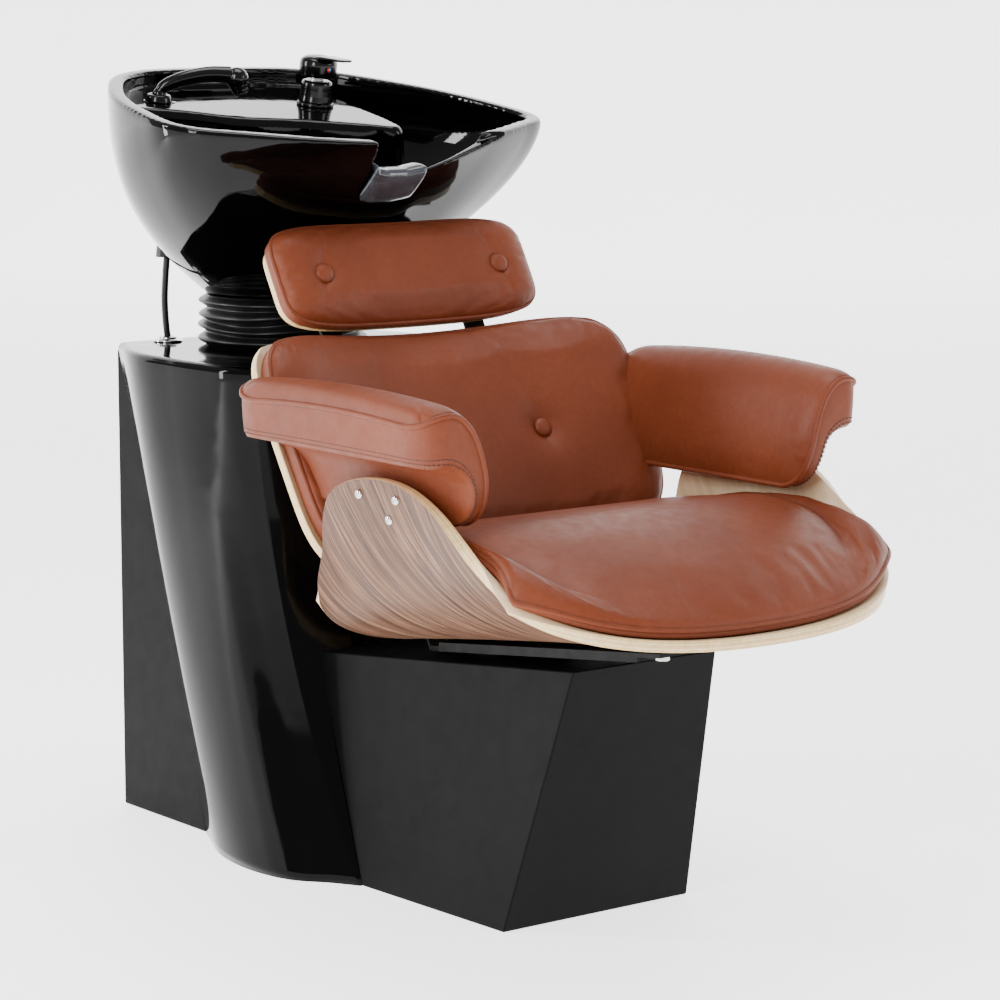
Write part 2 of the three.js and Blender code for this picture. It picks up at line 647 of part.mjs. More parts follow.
// The raised deck fills the rear of the bowl; its front edge runs slantwise to a rounded corner.
const DECK = [[-230, 110], [-150, 66], [-98, 22], [-20, -4], [60, -45], [92, -66], [106, -60], [116, -30],
  [126, 36], [132, 95], [128, 160], [120, 300], [-230, 300]];
function deckBlock() {
  const ringAt = (w, grow) => DECK.map(([x, v]) => [x + (x > 60 ? grow : 0), v - (v < 100 ? grow : 0), w]);
  return loft([ringAt(-260, 22), ringAt(-DECK_DROP - 8, 3), ringAt(-DECK_DROP, -2)]);
}

// Space for hoses under the deck, open through the neck.
function underDeck() {
  const ringAt = (x, v, w, rx, rv) => Array.from({ length: 16 }, (_, i) => {
    const angle = (2 * Math.PI * i) / 16;
    return [x + rx * Math.cos(angle), v + rv * Math.sin(angle), w];
  });
  return loft([ringAt(10, 92, -262, 40, 32), ringAt(10, 105, -200, 58, 45), ringAt(20, 115, -90, 85, 66),
    ringAt(20, 115, -DECK_DROP - 14, 85, 66)]);
}

// The neck notch: steep on the left, a long slope on the right, [x, drop below the rim plane].
const NOTCH = [[-66, -1], [-63, 8], [-57, 30], [-48, 43], [-30, 47], [0, 47], [24, 42], [50, 32], [90, 18],
  [130, 7], [165, -1]];
function notch() {
  const ringAt = v => [...NOTCH.map(([x, drop]) => [x, v, -drop]), [170, v, 40], [-70, v, 40]];
  return loft([ringAt(-330), ringAt(-212)]);
}

function basinBowl() {
  const cavity = solid(bowlCavity()).subtract(solid(deckBlock()));
  const skirt = solid(rod(local(PIVOT[0], PIVOT[1], 690), local(PIVOT[0], PIVOT[1], 744), 86, 28));
  const holes = [
    rod([...MIXER_AT, -60], [...MIXER_AT, 10], 15, 16),
    rod([...HOLDER_AT, -60], [...HOLDER_AT, 10], 14.5, 16),
    rod([...DRAIN_AT, -270], [...DRAIN_AT, -150], 24, 20),
    rod([...DRAIN_AT, -BOWL_DEPTH - 4], [...DRAIN_AT, -150], 32, 20),
    rod(local(...HOSE_OUT, 700), [...HOLDER_AT, -30], 11, 12),
  ].map(solid);
  return shape([cavity, skirt, solid(notch()), solid(underDeck()), ...holes]
    .reduce((left, tool) => left.subtract(tool), solid(basinOuter())));
}
const bowlGeometry = basinBowl();
add(basin, 'basin', bowlGeometry, M.ceramic);

// Height of the notch floor at x, and the basin's front wall seen along the notch floor.
function notchFloor(x) {
  const k = NOTCH.findIndex(([nx]) => nx >= x);
  const [[x0, d0], [x1, d1]] = [NOTCH[k - 1], NOTCH[k]];
  return -lerp(d0, d1, (x - x0) / (x1 - x0));
}
function frontWall(w) {
  const at = depth => {
    const [, v] = RIM[0];
    const rim = vec(0, v, 0).applyMatrix4(basin.matrix);
    const y = lerp(PIVOT[1] - NECK_RADIUS, rim.y, 1 - depth ** fall(0, v));
    return local(0, y, lerp(rim.z, NECK_Z, depth));
  };
  const depth = -w / (at(0)[2] - at(1)[2]);
  return at(depth)[1];
}

// Soft saddle that clips over the notch and hangs down its front:
// [reach past the wall, height over the floor].
const SADDLE_OUT = [[-30, 4], [-18, 7], [-2, 8], [5, 6], [9, -4], [10, -20], [8, -42]];
const SADDLE_IN = [[-30, 0.5], [-18, 0.5], [-8, 0.5], [0.5, 0.5], [1, -6], [1, -20], [1, -42]];
const SADDLE_X = [-54, -48, -30, 0, 12, 24, 27];
function neckRest() {
  const side = section => section.map(([reach, height]) => SADDLE_X.map(x => {
    const w = notchFloor(x) + height;
    return [x, frontWall(Math.min(w, notchFloor(x))) - reach, w];
  }));
  return slab(side(SADDLE_OUT), side(SADDLE_IN));
}
add(basin, 'neck_rest', neckRest(), M.gel);

// ---- waste --------------------------------------------------------------------------------------
add(basin, 'strainer', turned([[0, -3.5], [20, -3.5], [31, -3.5], [31, -1.5], [26, 1], [0, 0]], 20,
  [...DRAIN_AT, -BOWL_DEPTH]), M.chrome);
const tailTop = -BOWL_DEPTH - 12;
add(basin, 'waste_tailpiece', ring(18, 22.5, tailTop - 66, tailTop, 20, [...DRAIN_AT, 0]), M.plastic);

// ---- tilt hinge under the neck ------------------------------------------------------------------
function tiltLugs() {
  const [, y, z] = PIVOT;
  const disc = rod(local(0, y, 737), local(0, y, 743), 80, 24);
  const lug = x => rod(local(x, y, z), local(x + 6, y, z), 16, 20);
  const web = x => block([x, y - 16, z], [x + 6, y + 16, 740]).applyMatrix4(toBasin);
  const drainHole = rod([...DRAIN_AT, -300], [...DRAIN_AT, -150], 26, 20);
  const hoseHole = rod(local(18, 722, 700), local(18, 722, 760), 34, 16);
  const pinHole = rod(local(-90, y, z), local(90, y, z), 6.4, 24);
  return cut(join(disc, lug(-44), lug(38), web(-44), web(38)), drainHole, hoseHole, pinHole);
}
add(basin, 'tilt_lugs', tiltLugs(), M.steel);

function tiltBracket() {
  const [, y, z] = PIVOT;
  const foot = COLUMN_TOP - 70 + 5 + 2 * GAP;
  const ear = x => join(block([x, y - 16, foot], [x + 6, y + 16, z]), rod([x, y, z], [x + 6, y, z], 16, 20));
  const feet = [[-96, -51], [51, 96]].map(([a, b]) => block([a, y - 30, foot], [b, y + 30, foot + 5]));
  const pinHole = rod([-90, y, z], [90, y, z], 6.4, 24);
  return [-1, 1].map((side, i) => cut(join(ear(side < 0 ? -57 : 51), feet[i]), pinHole));
}
tiltBracket().forEach((geometry, i) => add(unit, `tilt_bracket_${i ? 'right' : 'left'}`, geometry, M.steel));
add(unit, 'tilt_pin', rod([-64, PIVOT[1], PIVOT[2]], [64, PIVOT[1], PIVOT[2]], 6, 24), M.zinc);

// ---- bellows and hoses --------------------------------------------------------------------------
function bellows() {
  const [low, high] = [COLUMN_TOP + GAP, NECK_Z - GAP - 0.4];
  const folds = 4;
  const outer = [];
  for (let i = 0; i <= 2 * folds; i++) {
    outer.push([i % 2 ? 114 : 103, lerp(low, high, i / (2 * folds))]);
  }
  const inner = outer.slice().reverse().map(([r, z]) => [r - 5, z]);
  return turned([...outer, ...inner, outer[0]], 24, [PIVOT[0], PIVOT[1], 0]);
}
add(unit, 'bellows', bellows(), M.rubber);

add(unit, 'hose_grommet', turned(
  [[8, -8], [15, -8], [15, GAP], [20, GAP], [20, 3], [13, 5], [8, 5], [8, -8]], 24,
  [...HOSE_OUT, COLUMN_TOP]), M.chrome);

const HOSE_ROUTE = [[-112, 780, 751], [-113, 781, 735], [-114, 782, 715], [-115, 782, 695], [-115, 781, 675],
  [-114, 780, 655], [-112, 780, 640], [-112, 780, 620], [-112, 780, 600]];
add(unit, 'shower_hose', tube(HOSE_ROUTE, 4.5, 8, 16), M.rubber);
add(basin, 'hose_outlet_bush', outletBush(), M.rubber);
// A rubber bush shaped to the basin's underside round the hose.
function outletBush() {
  const bush = rod(local(...HOSE_OUT, 752), local(...HOSE_OUT, 790), 15, 16, 11);
  const bore = rod(local(...HOSE_OUT, 740), local(...HOSE_OUT, 800), 5.5, 12);
  return cut(bush, bore, bowlGeometry);
}

add(unit, 'waste_hose', tube([
  [0, 612, 688], [0, 610, 640], [0, 600, 560], [0, 560, 430], [0, 520, 300], [0, 500, 180],
  [0, 500, 60]], 17, 10, 14), M.plastic);
[-1, 1].forEach(side => {
  const name = side < 0 ? 'supply_hose_hot' : 'supply_hose_cold';
  add(unit, name, tube([[40 + side * 9, 700, 880], [30 + side * 14, 718, 800], [20 + side * 16, 722, 720],
    [10 + side * 20, 715, 640], [side * 30, 690, 520], [side * 36, 650, 380], [side * 36, 600, 240],
    [side * 40, 570, 120]], 6, 8, 18), M.rubber);
});

// ---- mixer --------------------------------------------------------------------------------------
const mixer = new THREE.Group();
mixer.position.set(...MIXER_AT, -DECK_DROP);
basin.add(mixer);
add(mixer, 'mixer_escutcheon', ring(15.5, 25, GAP, 5, 28, [0, 0, 0]), M.plastic);
add(mixer, 'mixer_body', turned([
  [0, -22], [14, -22], [14, 5 + GAP], [23, 5 + GAP], [21.5, 14], [20.5, 30], [17, 34],
  [0, 34]], 28),
  M.plastic);
add(mixer, 'mixer_stem',
  join(rod([0, 0, 34 + GAP], [0, 0, 44], 9, 16), block([-7, -6, 40], [7, 6, 52])), M.zinc);
function mixerCap() {
  const dome = turned([[0, 40], [24, 40], [25, 44], [25.5, 56], [22, 63], [12, 67], [0, 68]], 28);
  const lever = loft([[-6, 15, 66], [-36, 13, 70], [-60, 11, 72], [-69, 7, 72]].map(([v, half, w]) =>
    [[-half, v, w - 4], [half, v, w - 4], [half, v, w], [-half, v, w]]));
  const hollow = rod([0, 0, 30], [0, 0, 58], 19, 20);
  return cut(join(dome, lever), hollow);
}
add(mixer, 'mixer_lever', mixerCap(), M.plastic);
add(mixer, 'mixer_indicator', rod([0, -25.6, 54], [0, -26.6, 54], 3, 12), M.mark);

// ---- hand shower --------------------------------------------------------------------------------
const shower = new THREE.Group();
shower.position.set(...HOLDER_AT, -DECK_DROP);
basin.add(shower);
add(shower, 'handset_holder',
  turned([[10, -14], [14, -14], [14, GAP], [18, GAP], [16, 8], [10, 10], [10, -14]], 20),
  M.plastic);
function handset() {
  const shank = rod([0, 0, -12], [0, 0, 14], 9, 16);
  const handle = tube([[0, 0, 12], [5, -2, 20], [26, -11, 31], [58, -26, 40], [84, -38, 41]], 8.4, 12, 12);
  const head = new THREE.SphereGeometry(13.5, 18, 10).translate(92, -42, 37);
  const nozzle = rod([93, -43, 33], [97, -46, 19], 10, 18);
  return join(shank, handle, head, nozzle);
}
add(shower, 'handset', handset(), M.plastic);
add(shower, 'handset_spray_face', rod([97.1, -46.07, 18.7], [97.5, -46.4, 17.2], 8.5, 18), M.satin);

export default object;
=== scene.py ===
"""Looks for the shampoo backwash unit: leather, plywood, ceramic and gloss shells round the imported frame.

Shapes are written in the design's own frame, in millimetres (Y = 0 at the pedestal's front foot), and
turned into the row frame by to_row(). The basin, the back and the mixer have tilted frames of their own.
"""

import math

import bpy
import numpy as np
from mathutils import Matrix, Vector


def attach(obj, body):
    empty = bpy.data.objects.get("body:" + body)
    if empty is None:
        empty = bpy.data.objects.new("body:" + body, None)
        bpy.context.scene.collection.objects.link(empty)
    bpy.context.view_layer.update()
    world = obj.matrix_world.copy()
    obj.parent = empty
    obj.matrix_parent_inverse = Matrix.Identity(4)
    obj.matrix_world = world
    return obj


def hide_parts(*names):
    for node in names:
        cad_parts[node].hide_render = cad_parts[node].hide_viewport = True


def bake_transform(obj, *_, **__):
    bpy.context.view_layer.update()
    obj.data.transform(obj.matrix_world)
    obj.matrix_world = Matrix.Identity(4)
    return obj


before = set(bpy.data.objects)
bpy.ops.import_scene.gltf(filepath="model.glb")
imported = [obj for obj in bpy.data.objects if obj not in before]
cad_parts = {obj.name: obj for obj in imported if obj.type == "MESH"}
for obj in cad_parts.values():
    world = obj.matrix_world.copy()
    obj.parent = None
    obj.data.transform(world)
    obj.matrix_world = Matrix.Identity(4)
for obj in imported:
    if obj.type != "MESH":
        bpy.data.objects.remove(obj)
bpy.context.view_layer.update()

ROOT, BASIN = "chair_and_column", "basin"
CENTRE_Y = 267.35          # design frame's Y at the row frame's origin
MM = 0.001
TURN = 2 * math.pi

# ---- driving dimensions, as in the design --------------------------------------------------------
COLUMN_TOP, COLUMN_REAR, COLUMN_LEAN = 638, 619, 200
COLUMN_OUTLINE = [(156, 205, 0), (177, 222, .1), (208, 227, .22), (222, 229, .41), (212, 223, .67),
                  (164, 168, 1)]
CABINET_REAR, CABINET_HALF = 828, 163
PIVOT = (0, 670, 700)
NECK_RADIUS, NECK_Z = 100, 706
BASIN_CENTRE, BASIN_SLOPE = (0, 600, 958), math.radians(9.6)
RIM_WIDTH, DECK_DROP, BOWL_DEPTH = 21, 20, 178
SEAT_FRONT, SEAT_REAR, SEAT_FRONT_Z, SEAT_TILT = -312, 205, 379, math.tan(math.radians(7))
PLY, SEAT_PAD = 13, 132
RECLINE, BACK_FOOT, BACK_LENGTH = math.radians(30), (0, 232, 390), 318
BACK_TOP_HALF, BACK_FOOT_HALF, BACK_WRAP, BACK_PAD = 284, 272, 62, 50
HEADREST_STEP, HEADREST_FOOT, HEADREST_HEIGHT, HEADREST_HALF, HEADREST_PAD = 20, 325, 138, 194, 42
ARM_FRONT, ARM_REAR = -105, 288
MIXER_AT, HOLDER_AT, DRAIN_AT, HOSE_OUT = (66, 84), (-150, 132), (0, -35), (-112, 780)

# ---- small maths ---------------------------------------------------------------------------------
def lerp(a, b, t):
    return a + (b - a) * t


def smoothstep(x, low, high):
    t = np.clip((np.asarray(x, float) - low) / (high - low), 0, 1)
    return t * t * (3 - 2 * t)


def to_row(points):
    out = np.array(points, float)
    out[..., 1] -= CENTRE_Y
    return out * MM


def catmull(points, t):
    """Centripetal Catmull-Rom through points at t in 0..1, spread evenly over its segments."""
    p = np.array(points, float)
    p = np.vstack([2 * p[0] - p[1], p, 2 * p[-1] - p[-2]])
    spans = len(p) - 3
    s = np.clip(np.asarray(t, float) * spans, 0, spans - 1e-9)
    i = s.astype(int)
    w = (s - i)[..., None]
    a, b, c, d = p[i], p[i + 1], p[i + 2], p[i + 3]
    d0, d1, d2 = (np.maximum(((q - r) ** 2).sum(-1, keepdims=True) ** .25, 1e-6)
                  for q, r in ((a, b), (b, c), (c, d)))
    m1 = ((b - a) / d0 - (c - a) / (d0 + d1) + (c - b) / d1) * d1
    m2 = ((c - b) / d1 - (d - b) / (d1 + d2) + (d - c) / d2) * d1
    return b + m1 * w + (-3 * b + 3 * c - 2 * m1 - m2) * w ** 2 + (2 * b - 2 * c + m1 + m2) * w ** 3


def evenly(points, count):
    """The same polyline with count points at even spacing."""
    p = np.array(points, float)
    reach = np.concatenate([[0], np.cumsum(np.linalg.norm(np.diff(p, axis=0), axis=1))])
    wanted = np.linspace(0, reach[-1], count)
    return np.stack([np.interp(wanted, reach, p[:, k]) for k in range(p.shape[1])], -1)


def turned_frame(origin, angle):
    """Matrix of a frame at origin, tilted about X, from its own millimetres to the row frame in metres."""
    shift = Matrix.Translation(Vector(to_row(origin)))
    return shift @ Matrix.Rotation(angle, 4, "X") @ Matrix.Scale(MM, 4)


BASIN_FRAME = turned_frame(BASIN_CENTRE, BASIN_SLOPE)
BACK_FRAME = turned_frame(BACK_FOOT, math.pi / 2 - RECLINE)
DESIGN_FRAME = turned_frame((0, 0, 0), 0)


def moved(points, matrix):
    p = np.array(points, float)
    m = np.array(matrix)
    return p @ m[:3, :3].T + m[:3, 3]


# ---- mesh helpers --------------------------------------------------------------------------------
def new_object(name, points, faces, materials=(), face_slots=None, smooth=True):
    mesh = bpy.data.meshes.new(name)
    corners = np.asarray(points, float).reshape(-1, 3).tolist()
    mesh.from_pydata(corners, [], [list(map(int, f)) for f in faces])
    for material in materials:
        mesh.materials.append(material)
    if face_slots is not None:
        mesh.polygons.foreach_set("material_index", np.asarray(face_slots, np.int32))
    mesh.polygons.foreach_set("use_smooth", np.full(len(mesh.polygons), smooth))
    mesh.update()
    piece = bpy.data.objects.new(name, mesh)
    bpy.context.scene.collection.objects.link(piece)
    return outward(piece)


def outward(piece):
    """Turns a closed mesh's faces to point out."""
    mesh = piece.data
    v = np.array([p.co for p in mesh.vertices])
    mesh.calc_loop_triangles()
    t = np.array([tri.vertices for tri in mesh.loop_triangles])
    volume = (v[t[:, 0]] * np.cross(v[t[:, 1]], v[t[:, 2]])).sum()
    if volume < 0:
        mesh.flip_normals()
    return piece


def dress(piece, body, slot, *nodes):
    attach(piece, body)
    if nodes:
        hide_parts(*nodes)
    return piece


def bevelled(piece, width, segments=3, angle=35):
    modifier = piece.modifiers.new("edges", "BEVEL")
    modifier.width, modifier.segments = width * MM, segments
    modifier.limit_method, modifier.angle_limit = "ANGLE", math.radians(angle)
    modifier.harden_normals = True
    return piece


def applied(piece):
    """The piece with its modifiers made part of the mesh."""
    bpy.context.view_layer.update()
    graph = bpy.context.evaluated_depsgraph_get()
    mesh = bpy.data.meshes.new_from_object(piece.evaluated_get(graph))
    piece.modifiers.clear()
    piece.data = mesh
    return piece


def grid_faces(rows, cols, closed=False):
    wrap = cols if closed else cols - 1
    r, c = np.meshgrid(np.arange(rows - 1), np.arange(wrap), indexing="ij")
    a = r * cols + c
    b = r * cols + (c + 1) % cols
    return np.stack([a, b, b + cols, a + cols], -1).reshape(-1, 4)


def border_loop(rows, cols):
    """Row and column indices round the border of a grid."""
    path = [(0, c) for c in range(cols - 1)] + [(r, cols - 1) for r in range(rows - 1)]
    path += [(rows - 1, c) for c in range(cols - 1, 0, -1)] + [(r, 0) for r in range(rows - 1, 0, -1)]
    return np.array(path).T


def loft(name, rings, materials=(), smooth=True):
    """A closed solid from rings of equal length, capped at both ends."""
    rings = np.array(rings, float)
    rows, cols = rings.shape[:2]
    faces = grid_faces(rows, cols, closed=True).tolist()
    faces += [list(range(cols))[::-1], list(range((rows - 1) * cols, rows * cols))]
    return new_object(name, rings, faces, materials, smooth=smooth)


def lathe(name, profile, matrix, materials, sides=64):
    """A turned solid about its frame's Z, from a profile that starts and ends on the axis or closes."""
    p = np.array(profile, float)
    on_axis = p[0, 0] == 0 and p[-1, 0] == 0
    if on_axis:
        p[0, 0] = p[-1, 0] = 1e-3
    angle = np.linspace(0, TURN, sides, endpoint=False)
    rings = np.stack([p[:, :1] * np.cos(angle), p[:, :1] * np.sin(angle), np.repeat(p[:, 1:], sides, 1)], -1)
    rings = moved(rings, matrix)
    if on_axis:
        return loft(name, rings, materials)
    return new_object(name, rings, grid_faces(len(p), sides, closed=True), materials)


def rounded_profile(points, radius=1.0, steps=4):
    """A turned profile with each inner corner cut to a small curve."""
    out = [points[0]]
    for a, b, c in zip(points, points[1:], points[2:]):
        a, b, c = (np.array(p, float) for p in (a, b, c))
        before, after = np.linalg.norm(a - b), np.linalg.norm(c - b)
        cut = min(radius, before / 2.2, after / 2.2)
        p, q = b + (a - b) / before * cut, b + (c - b) / after * cut
        for t in np.linspace(0, 1, steps):
            out.append(tuple((1 - t) ** 2 * p + 2 * t * (1 - t) * b + t * t * q))
    return out + [points[-1]]


def tube(name, path, radius, materials=(), sides=12, closed=False):
    """A round tube along a path in the row frame; radius in metres, one number or one for each point."""
    p = np.array(path, float)
    if closed:
        ahead = np.roll(p, -1, 0) - np.roll(p, 1, 0)
    else:
        ahead = np.gradient(p, axis=0)
    ahead /= np.linalg.norm(ahead, axis=1, keepdims=True)
    side = np.zeros_like(p)
    start = np.cross(ahead[0], (0, 0, 1) if abs(ahead[0][2]) < .9 else (1, 0, 0))
    side[0] = start / np.linalg.norm(start)
    for i in range(1, len(p)):
        s = side[i - 1] - ahead[i] * (side[i - 1] @ ahead[i])
        side[i] = s / np.linalg.norm(s)
    other = np.cross(ahead, side)
    if closed:
        last = side[-1] - ahead[0] * (side[-1] @ ahead[0])
        twist = math.atan2(last @ other[0], last @ side[0])
        back = -twist * np.linspace(0, 1, len(p))[:, None]
        side, other = side * np.cos(back) + other * np.sin(back), other * np.cos(back) - side * np.sin(back)
    angle = np.linspace(0, TURN, sides, endpoint=False)[None, :, None]
    radius = np.broadcast_to(np.asarray(radius, float), len(p))[:, None, None]
    rings = p[:, None] + radius * (side[:, None] * np.cos(angle) + other[:, None] * np.sin(angle))
    if closed:
        rings = np.concatenate([rings, rings[:1]])
        faces = grid_faces(len(rings), sides, closed=True)
        faces = faces % (len(p) * sides)
        return new_object(name, rings[:-1], faces, materials)
    return loft(name, rings, materials)


def voxel_union(piece, size, smoothing):
    """Merges overlapping solids into one skin and rounds its edges, as cast or moulded pieces are."""
    remesh = piece.modifiers.new("skin", "REMESH")
    remesh.mode, remesh.voxel_size, remesh.use_smooth_shade = "VOXEL", size, True
    smooth = piece.modifiers.new("round", "SMOOTH")
    smooth.factor, smooth.iterations = .5, smoothing
    return applied(piece)


def boolean(piece, tool):
    """Cuts the tool out of the piece."""
    modifier = piece.modifiers.new("cut", "BOOLEAN")
    modifier.operation, modifier.object, modifier.solver = "DIFFERENCE", tool, "EXACT"
    applied(piece)
    bpy.data.objects.remove(tool)
    return piece


def joined(name, pieces):
    """One object holding several meshes, without joining their skins."""
    points, faces = [], []
    for piece in pieces:
        start = len(points)
        points += [tuple(piece.matrix_world @ v.co) for v in piece.data.vertices]
        faces += [[start + i for i in f.vertices] for f in piece.data.polygons]
    materials = list(pieces[0].data.materials)
    for piece in pieces:
        bpy.data.objects.remove(piece)
    return new_object(name, points, faces, materials)


# ---- node materials ------------------------------------------------------------------------------
class Shader:
    """A small wrapper that adds and links nodes of one material."""

    def __init__(self, name, **values):
        self.material = bpy.data.materials.new(name)
        self.material.use_nodes = True
        self.tree = self.material.node_tree
        self.surface = self.tree.nodes["Principled BSDF"]
        for key, value in values.items():
            self.surface.inputs[key.replace("_", " ")].default_value = value
        self.where = self.add("ShaderNodeTexCoord").outputs["Object"]

    def add(self, kind, settings=(), **inputs):
        node = self.tree.nodes.new(kind)
        for key, value in dict(settings).items():
            setattr(node, key, value)
        for key, value in inputs.items():
            self.put(node.inputs[key.replace("_", " ")], value)
        return node

    def put(self, socket, value):
        if isinstance(value, bpy.types.NodeSocket):
            self.tree.links.new(value, socket)
        else:
            socket.default_value = value

    def into(self, key, value):
        self.put(self.surface.inputs[key], value)

    def noise(self, scale, detail=3, roughness=.5, at=None, distortion=0):
        return self.add("ShaderNodeTexNoise", Vector=at or self.where, Scale=scale, Detail=detail,
                        Roughness=roughness, Distortion=distortion).outputs["Fac"]

    def cells(self, scale):
        return self.add("ShaderNodeTexVoronoi", {"feature": "SMOOTH_F1"}, Vector=self.where,
                        Scale=scale).outputs["Distance"]

    def ramp(self, value, stops):
        node = self.add("ShaderNodeValToRGB", Fac=value)
        bar = node.color_ramp.elements
        while len(bar) < len(stops):
            bar.new(.5)
        for element, (place, colour) in zip(bar, stops):
            element.position = place
            element.color = (*colour, 1) if len(colour) == 3 else colour
        return node.outputs["Color"]

    def levels(self, value, low, high, out_low, out_high):
        return self.add("ShaderNodeMapRange", Value=value, From_Min=low, From_Max=high, To_Min=out_low,
                        To_Max=out_high).outputs["Result"]

    def math(self, operation, a, b=0.0):
        node = self.tree.nodes.new("ShaderNodeMath")
        node.operation = operation
        self.put(node.inputs[0], a)
        self.put(node.inputs[1], b)
        return node.outputs["Value"]

    def blend(self, share, a, b):
        node = self.tree.nodes.new("ShaderNodeMix")
        node.data_type = "RGBA"
        for socket, value in zip((node.inputs[0], node.inputs[6], node.inputs[7]), (share, a, b)):
            self.put(socket, (*value, 1) if isinstance(value, tuple) and len(value) == 3 else value)
        return node.outputs[2]

    def bump(self, height, distance, strength=1.0, under=None):
        node = self.add("ShaderNodeBump", Height=height, Distance=distance, Strength=strength)
        if under is not None:
            self.put(node.inputs["Normal"], under)
        return node.outputs["Normal"]

    def scaled(self, source, factors):
        return self.add("ShaderNodeMapping", Vector=source, Scale=factors).outputs["Vector"]


def leather():
    """Smooth rust-tan leather: fine pebble, faint mottling and slightly worn highlights."""
    s = Shader("tan_leather")
    s.surface.inputs["Specular IOR Level"].default_value = .22
    cloud = s.noise(9, 4)
    fine = s.noise(160, 3)
    hue = s.ramp(cloud, [(.3, (.138, .029, .0100)), (.55, (.162, .035, .0125)), (.75, (.184, .042, .0155))])
    s.into("Base Color", s.blend(s.levels(fine, .35, .7, 0, .35), hue, (.115, .022, .0075)))
    s.into("Roughness", s.levels(s.noise(60, 3), .3, .7, .40, .54))
    pebble = s.cells(820)
    creases = s.noise(300, 4, .6)
    s.into("Normal", s.bump(creases, .0004, .35, s.bump(pebble, .00035, .4, s.bump(cloud, .002, .25))))
    return s.material


def thread():
    s = Shader("dark_thread", Roughness=.7)
    s.into("Base Color", s.ramp(s.noise(400), [(.3, (.035, .014, .008)), (.7, (.075, .03, .018))]))
    s.into("Normal", s.bump(s.noise(1500), .0002, .5))
    return s.material


def grain_place(s, across=3.0, along=1000.0):
    """The veneer's own coordinates, in metres: X runs across the grain's lines and Y along them."""
    place = s.add("ShaderNodeAttribute", {"attribute_name": "grain"}).outputs["Vector"]
    return s.scaled(place, (along, across, along))


def walnut():
    """Zebra-streaked walnut veneer under satin lacquer."""
    s = Shader("walnut_veneer", Coat_Weight=.04, Coat_Roughness=.25)
    s.surface.inputs["Specular IOR Level"].default_value = .2
    wide = s.noise(.03, 4, .55, grain_place(s, 60), 1.2)
    lines = s.noise(.16, 5, .65, grain_place(s, 40), .6)
    hair = s.noise(.75, 3, .6, grain_place(s, 25))
    pores = s.noise(1.6, 2, .7, grain_place(s, 90))
    tone = s.ramp(lines, [(.36, (.036, .014, .007)), (.47, (.098, .045, .025)), (.55, (.165, .080, .046)),
                          (.64, (.30, .165, .102))])
    tone = s.blend(s.levels(wide, .38, .66, 0, .55), tone, (.092, .040, .021))
    tone = s.blend(s.levels(hair, .58, .72, 0, .55), tone, (.38, .235, .155))
    tone = s.blend(s.levels(pores, .60, .72, 0, .5), tone, (.075, .038, .023))
    s.into("Base Color", tone)
    s.into("Roughness", s.levels(lines, .3, .7, .34, .5))
    s.into("Normal", s.bump(pores, .00025, .3, s.bump(lines, .0004, .3)))
    return s.material


def maple():
    """The pale inner face of the plywood."""
    s = Shader("maple_veneer", Coat_Weight=.2, Coat_Roughness=.25)
    wave = s.noise(.05, 4, .55, grain_place(s, 30), .8)
    fine = s.noise(.8, 3, .6, grain_place(s, 40))
    tone = s.ramp(wave, [(.3, (.66, .46, .26)), (.55, (.75, .56, .35)), (.75, (.82, .64, .43))])
    s.into("Base Color", s.blend(s.levels(fine, .5, .75, 0, .3), tone, (.52, .36, .21)))
    s.into("Roughness", s.levels(wave, .3, .7, .38, .5))
    s.into("Normal", s.bump(fine, .0002, .25))
    return s.material


def ply_edge():
    """The cut edge: light cross plies with thin darker glue lines, laid through the thickness."""
    s = Shader("plywood_edge", Coat_Weight=.3, Coat_Roughness=.2)
    place = s.add("ShaderNodeAttribute", {"attribute_name": "grain"}).outputs["Vector"]
    depth = s.add("ShaderNodeSeparateXYZ", Vector=place).outputs["Z"]
    plies = s.math("FRACT", s.math("MULTIPLY", depth, 1 / .0026))
    glue = s.math("LESS_THAN", plies, .14)
    turns = s.math("LESS_THAN", s.math("FRACT", s.math("MULTIPLY", depth, 1 / .0052)), .5)
    fibre = s.noise(140, 4, .6, s.scaled(s.where, (1, 1, 1)))
    light = s.ramp(fibre, [(.35, (.80, .56, .26)), (.6, (.90, .68, .36))])
    dark = s.ramp(fibre, [(.35, (.68, .43, .17)), (.6, (.80, .55, .25))])
    s.into("Base Color", s.blend(s.math("MULTIPLY", glue, .55), s.blend(turns, light, dark), (.30, .17, .07)))
    s.into("Roughness", s.levels(fibre, .3, .7, .32, .46))
    s.into("Normal", s.bump(fibre, .0003, .3))
    return s.material


def gloss_black(name, tone, rough, wave, shine):
    """Deep black gloss with the slight waviness and dust of a polished moulding or glaze."""
    s = Shader(name)
    s.surface.inputs["Specular IOR Level"].default_value = shine
    haze = s.noise(26, 3)
    s.into("Base Color", s.ramp(s.noise(7, 3), [(.3, tuple(.75 * t for t in tone)), (.7, tone)]))
    s.into("Roughness", s.levels(haze, .3, .75, rough, rough + .05))
    s.into("Normal", s.bump(s.noise(12, 2), wave, .5, s.bump(s.noise(900, 2), .00002, .25)))
    return s.material


def satin_black():
    """Fine-textured satin powder coat."""
    s = Shader("satin_powder_coat")
    s.surface.inputs["Specular IOR Level"].default_value = .045
    s.into("Base Color", s.ramp(s.noise(5, 4), [(.3, (.0035, .0035, .0037)), (.7, (.0052, .0052, .0055))]))
    s.into("Roughness", s.levels(s.noise(45, 3), .3, .7, .40, .5))
    orange = s.cells(700)
    s.into("Normal", s.bump(orange, .00018, .35))
    return s.material


